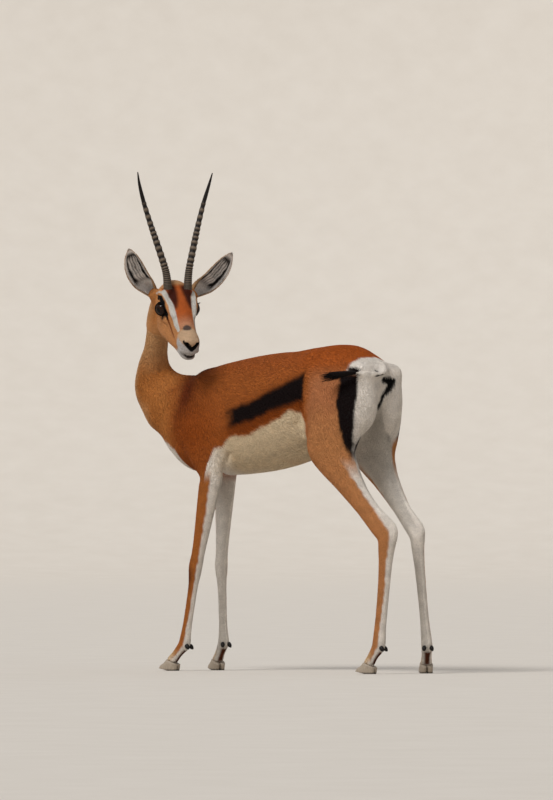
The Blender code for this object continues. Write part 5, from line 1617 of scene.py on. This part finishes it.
def build_eye(side, glass, lash_coat, settings):
    """One eyeball with its long dark pupil, and the lashes of the upper lid."""
    name = "eye_" + ("right" if side > 0 else "left")
    placed_ = head_matrix() @ eye_frame(side)
    bm = bmesh.new()
    bmesh.ops.create_uvsphere(bm, u_segments=64, v_segments=40, radius=settings.eye_radius - 0.0002)
    # Blender makes a sphere's faces in another order each run
    bm.verts.index_update()
    for index, face in enumerate(sorted(bm.faces, key=lambda f: sorted(v.index for v in f.verts))):
        face.index = index
    bm.faces.sort()
    tones = []
    for vert in bm.verts:
        far = math.hypot(vert.co.x / PUPIL[0], vert.co.y / PUPIL[1])
        iris = math.hypot(vert.co.x, vert.co.y) / IRIS_RADIUS
        tone = np.array(linear(PUPIL_BLACK))
        if vert.co.z > 0:
            brown = np.array(linear(IRIS_BROWN)) * (1.2 - 0.5 * min(iris, 1.6))
            tone = tone + (brown - tone) * min(max((far - 1) / 0.25, 0), 1)
        tones.append(tone)
    bm.transform(placed_)
    ball_ = finished(bm, name + "_ball", glass)
    paint(ball_.data, np.array(tones))
    worn(ball_, "eye_gloss", name)
    rng = random.Random(21 + side)
    bm = bmesh.new()
    for step in range(LASHES):
        turn = math.radians(16 + 148 * step / (LASHES - 1))
        wide = math.cos(turn) * (settings.lid_width + 0.0016)
        high = math.sin(turn) * (settings.lid_height + 0.0016) * (1 - 0.22 * math.cos(turn) ** 2)
        depth = math.sqrt(max(settings.eye_radius**2 - wide**2 - high**2, 1e-6)) + 0.0006
        root = Vector((wide, high, depth))
        way = Vector((wide * 22 + rng.uniform(-0.1, 0.1), 0.30, 0.9)).normalized()
        length = LASH_LENGTH * rng.uniform(0.75, 1.1) * (0.7 + 0.3 * math.sin(turn))
        rings = []
        for share, radius in LASH_RINGS:
            spot = root + way * length * share + Vector((0, 0.0035, 0)) * share * share
            rings.append((spot, (1, 0, 0), radius, radius, radius, 2.0))
        tube(bm, rings, 5, 5)
    bm.transform(placed_)
    lashes = finished(bm, name + "_lashes", lash_coat)
    paint(lashes.data, [linear(LASH_BLACK)] * len(lashes.data.vertices))
    return worn(lashes, "dark_hair")


def hoof_material():
    """Hoof horn: dusty grey tan with fine upright fibres, darker along the lower edge."""
    made, tree = new_material("dusty_hoof_horn")
    place = add(tree, "ShaderNodeTexCoord")
    fibres = {"Vector": place.outputs["Object"], "Scale": (700, 700, 90)}
    stretch = add(tree, "ShaderNodeMapping", None, fibres)
    noise = add(tree, "ShaderNodeTexNoise", None, {"Vector": stretch.outputs[0], "Scale": 1.0, "Detail": 4.0})
    height = add(tree, "ShaderNodeSeparateXYZ", None, {"Vector": place.outputs["Object"]})
    levels = {"Value": height.outputs["Z"], "From Min": 0.0, "From Max": 0.006}
    rise = add(tree, "ShaderNodeMapRange", None, levels)
    horn = add(tree, "ShaderNodeValToRGB", None, {"Fac": noise.outputs["Fac"]})
    horn.color_ramp.elements[0].color = (*linear("#6E6154"), 1)
    horn.color_ramp.elements[1].color = (*linear("#BBAB96"), 1)
    edge = add(
        tree,
        "ShaderNodeMix",
        {"data_type": "RGBA"},
        {0: rise.outputs["Result"], 6: (*linear("#1A1411"), 1), 7: horn.outputs["Color"]},
    )
    relief = add(
        tree, "ShaderNodeBump", None, {"Height": noise.outputs["Fac"], "Strength": 0.3, "Distance": 0.0005}
    )
    inputs = {"Base Color": edge.outputs[2], "Roughness": 0.6, "Normal": relief.outputs["Normal"]}
    shader = add(tree, "ShaderNodeBsdfPrincipled", None, inputs)
    add(tree, "ShaderNodeOutputMaterial", None, {"Surface": shader.outputs[0]})
    return made


SPUR_BLACK = "#15100D"
# Rings along a dewclaw: (share of its length, share of its radius)
SPUR_RINGS = ((0, 0.85), (0.35, 1.0), (0.7, 0.8), (1.0, 0.25))


def build_hoof(leg, coat, dark):
    """The two claws and two dewclaws of a foot."""
    right = 1 if leg.endswith("right") else -1
    turn = math.radians(TOE_OUT[leg])
    toe = Vector((-math.cos(turn), right * math.sin(turn), 0))
    across = toe.cross(Vector((0, 0, 1)))
    centre = Vector((LEGS[leg][4][0], LEGS[leg][4][1], 0))
    fetlock = Vector(LEGS[leg][3])
    slope = math.radians(CORONET_SLOPE)
    for name, side in (("inner", -right), ("outer", right)):
        ahead = (toe + across * 0.06 * side).normalized()
        rings = []
        for height, shift, front, back, half in CLAW_SIZES:
            spot = centre + across * CLAW_APART * side - ahead * (shift - CLAW_AHEAD) + Vector((0, 0, height))
            rings.append((spot, ahead, front, back, half, 2.2))
        bm = bmesh.new()
        for vert in tube(bm, rings, 36, 18):
            vert.co.z = max(vert.co.z, 0)
        cut = bmesh.ops.bisect_plane(
            bm,
            geom=bm.verts[:] + bm.edges[:] + bm.faces[:],
            dist=1e-6,
            plane_co=centre + Vector((0, 0, CORONET_LEVEL + 0.001)),
            plane_no=Vector((0, 0, math.cos(slope))) - toe * math.sin(slope),
            clear_outer=True,
        )
        rim = [e for e in cut["geom_cut"] if isinstance(e, bmesh.types.BMEdge)]
        bmesh.ops.holes_fill(bm, edges=rim, sides=0)
        worn(finished(bm, f"claw_{leg}_{name}", coat), "horn_sheath", f"hoof_{leg}_{name}")
        root = fetlock - toe * 0.0120 + across * 0.0088 * side + Vector((0, 0, -0.002))
        way = (-toe * 0.75 + across * 0.25 * side + Vector((0, 0, -0.9))).normalized()
        rings = []
        for share, swell in SPUR_RINGS:
            radius = DEWCLAW_RADIUS * swell
            spot = root + way * DEWCLAW_LENGTH * share
            rings.append((spot, toe, radius, radius, radius * 0.9, 2.0))
        bm = bmesh.new()
        tube(bm, rings, 20, 12)
        spur = finished(bm, f"spur_{leg}_{name}", dark)
        paint(spur.data, [linear(SPUR_BLACK)] * len(spur.data.vertices))
        worn(spur, "horn_sheath", f"dewclaw_{leg}_{name}")


LOCKS = 150
# Turn from one lock to the next, which spreads them evenly over the rod's end
LOCK_TURN = 2.399963
LOCK_SPREAD = 0.0095
LOCK_RADII = (0.0012, 0.0012, 0.0010)
LOCK_BLACK = "#120C0A"
# Rings along a lock: (share of its length, share of its radius)
LOCK_RINGS = ((0, 0.8), (0.3, 1.0), (0.65, 0.7), (0.88, 0.35), (1.0, 0.06))


def build_locks(coat):
    """The tail's brush of long black locks, spread from the rod's end."""
    rng = random.Random(31)
    way = (TUFT_TIP - TUFT_ROOT).normalized()
    across = way.cross(Vector((0, 0, 1))).normalized()
    over = across.cross(way)
    bm = bmesh.new()
    for lock in range(LOCKS):
        turn = lock * LOCK_TURN
        spread = math.sqrt((lock + 0.5) / LOCKS)
        aside = (across * math.cos(turn) + over * math.sin(turn)) * spread
        length = (TUFT_TIP - TUFT_ROOT).length * rng.uniform(0.60, 1.0)
        rings = []
        for share, swell in LOCK_RINGS:
            spot = TUFT_ROOT + way * length * share + aside * LOCK_SPREAD * (0.35 + 0.9 * share)
            spot += Vector((0, 0, -0.010)) * share * share + over * rng.uniform(-0.0012, 0.0012) * share
            rings.append((spot, over, *(radius * swell for radius in LOCK_RADII), 2.0))
        tube(bm, rings, 5, 7)
    brush = finished(bm, "tail_locks", coat)
    points = points_of(brush.data)
    tones = np.array(linear(LOCK_BLACK)) * (1 + 0.6 * ripple(points, 0.006, 17))[:, None]
    paint(brush.data, np.clip(tones, 0.002, 0.2))
    return worn(brush, "dark_hair", "tail_tuft")


class CoatSizes(bpy.types.PropertyGroup):
    """Sizes of the coat's tufts."""

    body_length: size_property("Body tufts", 0.0088, "Length on the trunk")
    leg_length: size_property("Leg tufts", 0.0046, "Length on the legs")
    face_length: size_property("Face tufts", 0.0032, "Length on the cheeks")
    count: IntProperty(name="Tufts", description="Number of tufts in the coat", default=232000, min=1000)
    piece: IntProperty(name="Tufts a piece", description="Most tufts in one piece", default=32000, min=1000)
    seed: IntProperty(name="Seed", description="Start of the random draws", default=5)


class GAZELLE_OT_coat(bpy.types.Operator):
    """Make the coat's tufts over the whole skin"""

    bl_idname = "gazelle.coat"
    bl_label = "Coat"

    def execute(self, context):
        sizes = context.scene.gazelle_coat
        mesh = bpy.data.objects["skin"].data
        share = head_share_of(mesh)
        rng = np.random.default_rng(sizes.seed)
        shift = np.array(STANCE_SHIFT)
        points = points_of(mesh) - shift
        length, width, _ = coat_sizes(points, share, sizes)
        density = 1 / (length * width) * (1 - 0.45 * share)
        density *= open_skin(points, share, context.scene.gazelle_skin)
        place, normal, pick, shares = skin_samples(mesh, sizes.count, density, rng)
        place -= shift
        head = (share[pick] * shares).sum(1)
        way = lie_of_coat(place, normal, head)
        way += np.cross(normal, way) * rng.normal(0, 0.16, len(way))[:, None]
        way += np.cross(normal, way) * (ripple(place, 0.05, 12) * 0.10)[:, None]
        way /= np.linalg.norm(way, axis=1)[:, None]
        length, width, rise = coat_sizes(place, head, sizes)
        vary = rng.uniform(0.75, 1.25, len(place))
        rise = rise * rng.uniform(0.6, 1.15, len(place))
        corners = tufts(place, normal, way, length * vary, width, rise, TUFT_SINK)
        tone = coat_colours(place, normal, head, context.scene.gazelle_skin)
        tone = tone * (rng.normal(1, 0.05, len(place)))[:, None]
        colours = np.clip(tone[:, None, :] * np.array(TUFT_SHADES)[None, :, None], 0.001, 0.95)
        plan = unwrapped(place, head)
        coat = hair_material("short_hair", 0.72, 0.04, 0)
        order = np.argsort(place[:, 0], kind="stable")
        pieces = math.ceil(len(order) / sizes.piece)
        for number, part in enumerate(np.array_split(order, pieces), 1):
            obj = tuft_mesh(f"coat_{number:02d}", corners[part] + shift, colours[part], plan[part], coat)
            worn(obj, "rufous_coat")
        return {"FINISHED"}


def head_share_of(mesh):
    layer = mesh.attributes["head_share"]
    share = np.empty(len(mesh.vertices), np.float32)
    layer.data.foreach_get("value", share)
    return share.astype(float)


BARE_NOSE = ((-0.002, 0.0, 0.016, 0.0040), (-0.002, 0.0, 0.021, 0.0060))


def open_skin(place, share, settings):
    """0 where no hair grows: inside the lids, the nostrils and between the lips."""
    local = in_head(place)
    bare = np.zeros(len(place))
    for side in (-1, 1):
        far, open_, _ = lid_shape(local, side, settings)
        bare = np.maximum(bare, (1 - smooth(open_, 1.10, 1.20)) * (far < settings.eye_radius * LID_REACH))
        line = [(x, y * side, z, r + 0.0006) for x, y, z, r in NOSTRIL_LINE]
        bare = np.maximum(bare, stroke(local, line, 0.0008))
    bare = np.maximum(bare, stroke(local, BARE_NOSE, 0.001))
    far, _ = line_distance(local, mouth_line())
    bare = np.maximum(bare, 1 - smooth(far, 0.0010, 0.0020))
    return 1 - bare * (share > 0.5)


class GAZELLE_OT_skin(bpy.types.Operator):
    """Make the skin of the whole animal"""

    bl_idname = "gazelle.skin"
    bl_label = "Skin"

    def execute(self, context):
        settings = context.scene.gazelle_skin
        skin = build_skin(settings, hair_material("undercoat", 0.7, 0.05, 0.35))
        mesh = skin.data
        share = head_share_of(mesh)
        points = points_of(mesh) - np.array(STANCE_SHIFT)
        paint(mesh, coat_colours(points, normals_of(mesh), share, settings) * 0.92)
        worn(skin, "rufous_coat", *FLESH_NODES)
        return {"FINISHED"}


class GAZELLE_OT_eyes(bpy.types.Operator):
    """Make the eyeballs and the lashes"""

    bl_idname = "gazelle.eyes"
    bl_label = "Eyes"

    def execute(self, context):
        glass = eye_material()
        lash_coat = hair_material("lash_hair", 0.5, 0.0, 0)
        for side in (-1, 1):
            build_eye(side, glass, lash_coat, context.scene.gazelle_skin)
        return {"FINISHED"}


class GAZELLE_OT_ears(bpy.types.Operator):
    """Make the ears and the hair in them"""

    bl_idname = "gazelle.ears"
    bl_label = "Ears"

    def execute(self, context):
        coat = hair_material("ear_hair", 0.75, 0.04, 0.2)
        for side in (-1, 1):
            build_ear(side, coat)
        return {"FINISHED"}


class GAZELLE_OT_horns(bpy.types.Operator):
    """Make the ringed horns"""

    bl_idname = "gazelle.horns"
    bl_label = "Horns"

    def execute(self, context):
        coat = horn_material()
        for side in (-1, 1):
            build_horn(side, coat)
        return {"FINISHED"}


class GAZELLE_OT_feet(bpy.types.Operator):
    """Make the claws and dewclaws of all four feet"""

    bl_idname = "gazelle.feet"
    bl_label = "Hooves"

    def execute(self, context):
        coat = hoof_material()
        dark = horn_material()
        for leg in LEGS:
            build_hoof(leg, coat, dark)
        return {"FINISHED"}


class GAZELLE_OT_tail(bpy.types.Operator):
    """Make the locks of the tail"""

    bl_idname = "gazelle.tail"
    bl_label = "Tail brush"

    def execute(self, context):
        build_locks(hair_material("tail_hair", 0.55, 0.05, 0))
        return {"FINISHED"}


# Floor that curves up all round: radius of the flat part, radius of the curve, steps of 7 degrees
BOWL_FLAT = 30
BOWL_CURVE = 10
BOWL_STEPS = 12
# Camera of the photo: turn, distance, height, height it aims at, shift aside, focal length and sensor
CAMERA_TURN = 43
CAMERA_DISTANCE = 25
CAMERA_HEIGHT = 0.45
AIM_HEIGHT = 0.7215
CAMERA_ASIDE = -0.053
CAMERA_LENS = 424.1
CAMERA_SENSOR = 36
CAMERA_REACH = 200
# Light: strength and width of the sun, its way as seen by the camera (right, back, up), and the sky
SUN_ENERGY = 2.1
SUN_WIDTH = 28
SUN_WAY = (0.65, -0.75, -1.1)
SKY_COLOUR = "#F4F6FA"
SKY_STRENGTH = 0.50


class GAZELLE_OT_stage(bpy.types.Operator):
    """Make the floor, the lights and the camera"""

    bl_idname = "gazelle.stage"
    bl_label = "Stage"

    def execute(self, context):
        scene = context.scene
        bm = bmesh.new()
        profile = [(0.0, 0.0), (BOWL_FLAT, 0.0)]
        for step in range(1, BOWL_STEPS + 1):
            turn = math.radians(step * 7)
            out = BOWL_FLAT + BOWL_CURVE * math.sin(turn)
            profile.append((out, BOWL_CURVE - BOWL_CURVE * math.cos(turn)))
        verts = [bm.verts.new((x, 0, z)) for x, z in profile]
        edges = [bm.edges.new(pair) for pair in zip(verts[:-1], verts[1:])]
        whole = {"axis": (0, 0, 1), "cent": (0, 0, 0), "angle": 2 * math.pi, "steps": 96, "use_merge": True}
        bmesh.ops.spin(bm, geom=verts + edges, **whole)
        bmesh.ops.remove_doubles(bm, verts=bm.verts, dist=1e-5)
        bmesh.ops.recalc_face_normals(bm, faces=bm.faces)
        mesh = bpy.data.meshes.new("studio_bowl")
        bm.to_mesh(mesh)
        bm.free()
        placed(mesh, "studio_bowl", studio_material())
        turn = math.radians(CAMERA_TURN)
        right = Vector((math.cos(turn), math.sin(turn), 0))
        back = Vector((math.sin(turn), -math.cos(turn), 0))
        middle = right * CAMERA_ASIDE + STANCE_SHIFT
        camera = bpy.data.objects.new("camera", bpy.data.cameras.new("camera"))
        scene.collection.objects.link(camera)
        camera.data.lens = CAMERA_LENS
        camera.data.sensor_width = CAMERA_SENSOR
        camera.data.clip_end = CAMERA_REACH
        camera.location = middle + back * CAMERA_DISTANCE + Vector((0, 0, CAMERA_HEIGHT))
        aim = middle + Vector((0, 0, AIM_HEIGHT)) - camera.location
        camera.rotation_euler = aim.to_track_quat("-Z", "Y").to_euler()
        scene.camera = camera
        scene.view_settings.view_transform = "Standard"
        world = bpy.data.worlds.new("studio")
        world.use_nodes = True
        sky = world.node_tree.nodes["Background"]
        sky.inputs["Color"].default_value = (*linear(SKY_COLOUR), 1)
        sky.inputs["Strength"].default_value = SKY_STRENGTH
        scene.world = world
        lamp = bpy.data.lights.new("soft_sun", "SUN")
        lamp.energy = SUN_ENERGY
        lamp.angle = math.radians(SUN_WIDTH)
        sun = bpy.data.objects.new("soft_sun", lamp)
        scene.collection.objects.link(sun)
        way = right * SUN_WAY[0] + back * SUN_WAY[1] + Vector((0, 0, SUN_WAY[2]))
        sun.rotation_euler = way.to_track_quat("-Z", "Y").to_euler()
        return {"FINISHED"}


class GAZELLE_PT_panel(bpy.types.Panel):
    """Buttons that make the gazelle's pieces"""

    bl_label = "Museum gazelle"
    bl_space_type = "VIEW_3D"
    bl_region_type = "UI"
    bl_category = "Gazelle"

    def draw(self, context):
        for operator in OPERATORS:
            self.layout.operator(operator.bl_idname)


GROUPS = {"gazelle_skin": SkinSettings, "gazelle_colours": CoatColours, "gazelle_coat": CoatSizes}
OPERATORS = (
    GAZELLE_OT_skin,
    GAZELLE_OT_eyes,
    GAZELLE_OT_ears,
    GAZELLE_OT_horns,
    GAZELLE_OT_feet,
    GAZELLE_OT_coat,
    GAZELLE_OT_tail,
    GAZELLE_OT_stage,
)


def register():
    for group in GROUPS.values():
        bpy.utils.register_class(group)
    for name, group in GROUPS.items():
        setattr(bpy.types.Scene, name, PointerProperty(type=group))
    for operator in OPERATORS:
        bpy.utils.register_class(operator)
    bpy.utils.register_class(GAZELLE_PT_panel)


def unregister():
    bpy.utils.unregister_class(GAZELLE_PT_panel)
    for operator in reversed(OPERATORS):
        bpy.utils.unregister_class(operator)
    for name in GROUPS:
        delattr(bpy.types.Scene, name)
    for group in GROUPS.values():
        bpy.utils.unregister_class(group)


def main():
    register()
    bpy.ops.gazelle.skin()
    bpy.ops.gazelle.eyes()
    bpy.ops.gazelle.ears()
    bpy.ops.gazelle.horns()
    bpy.ops.gazelle.feet()
    bpy.ops.gazelle.coat()
    bpy.ops.gazelle.tail()
    bpy.ops.gazelle.stage()


if __name__ == "__main__":
    main()
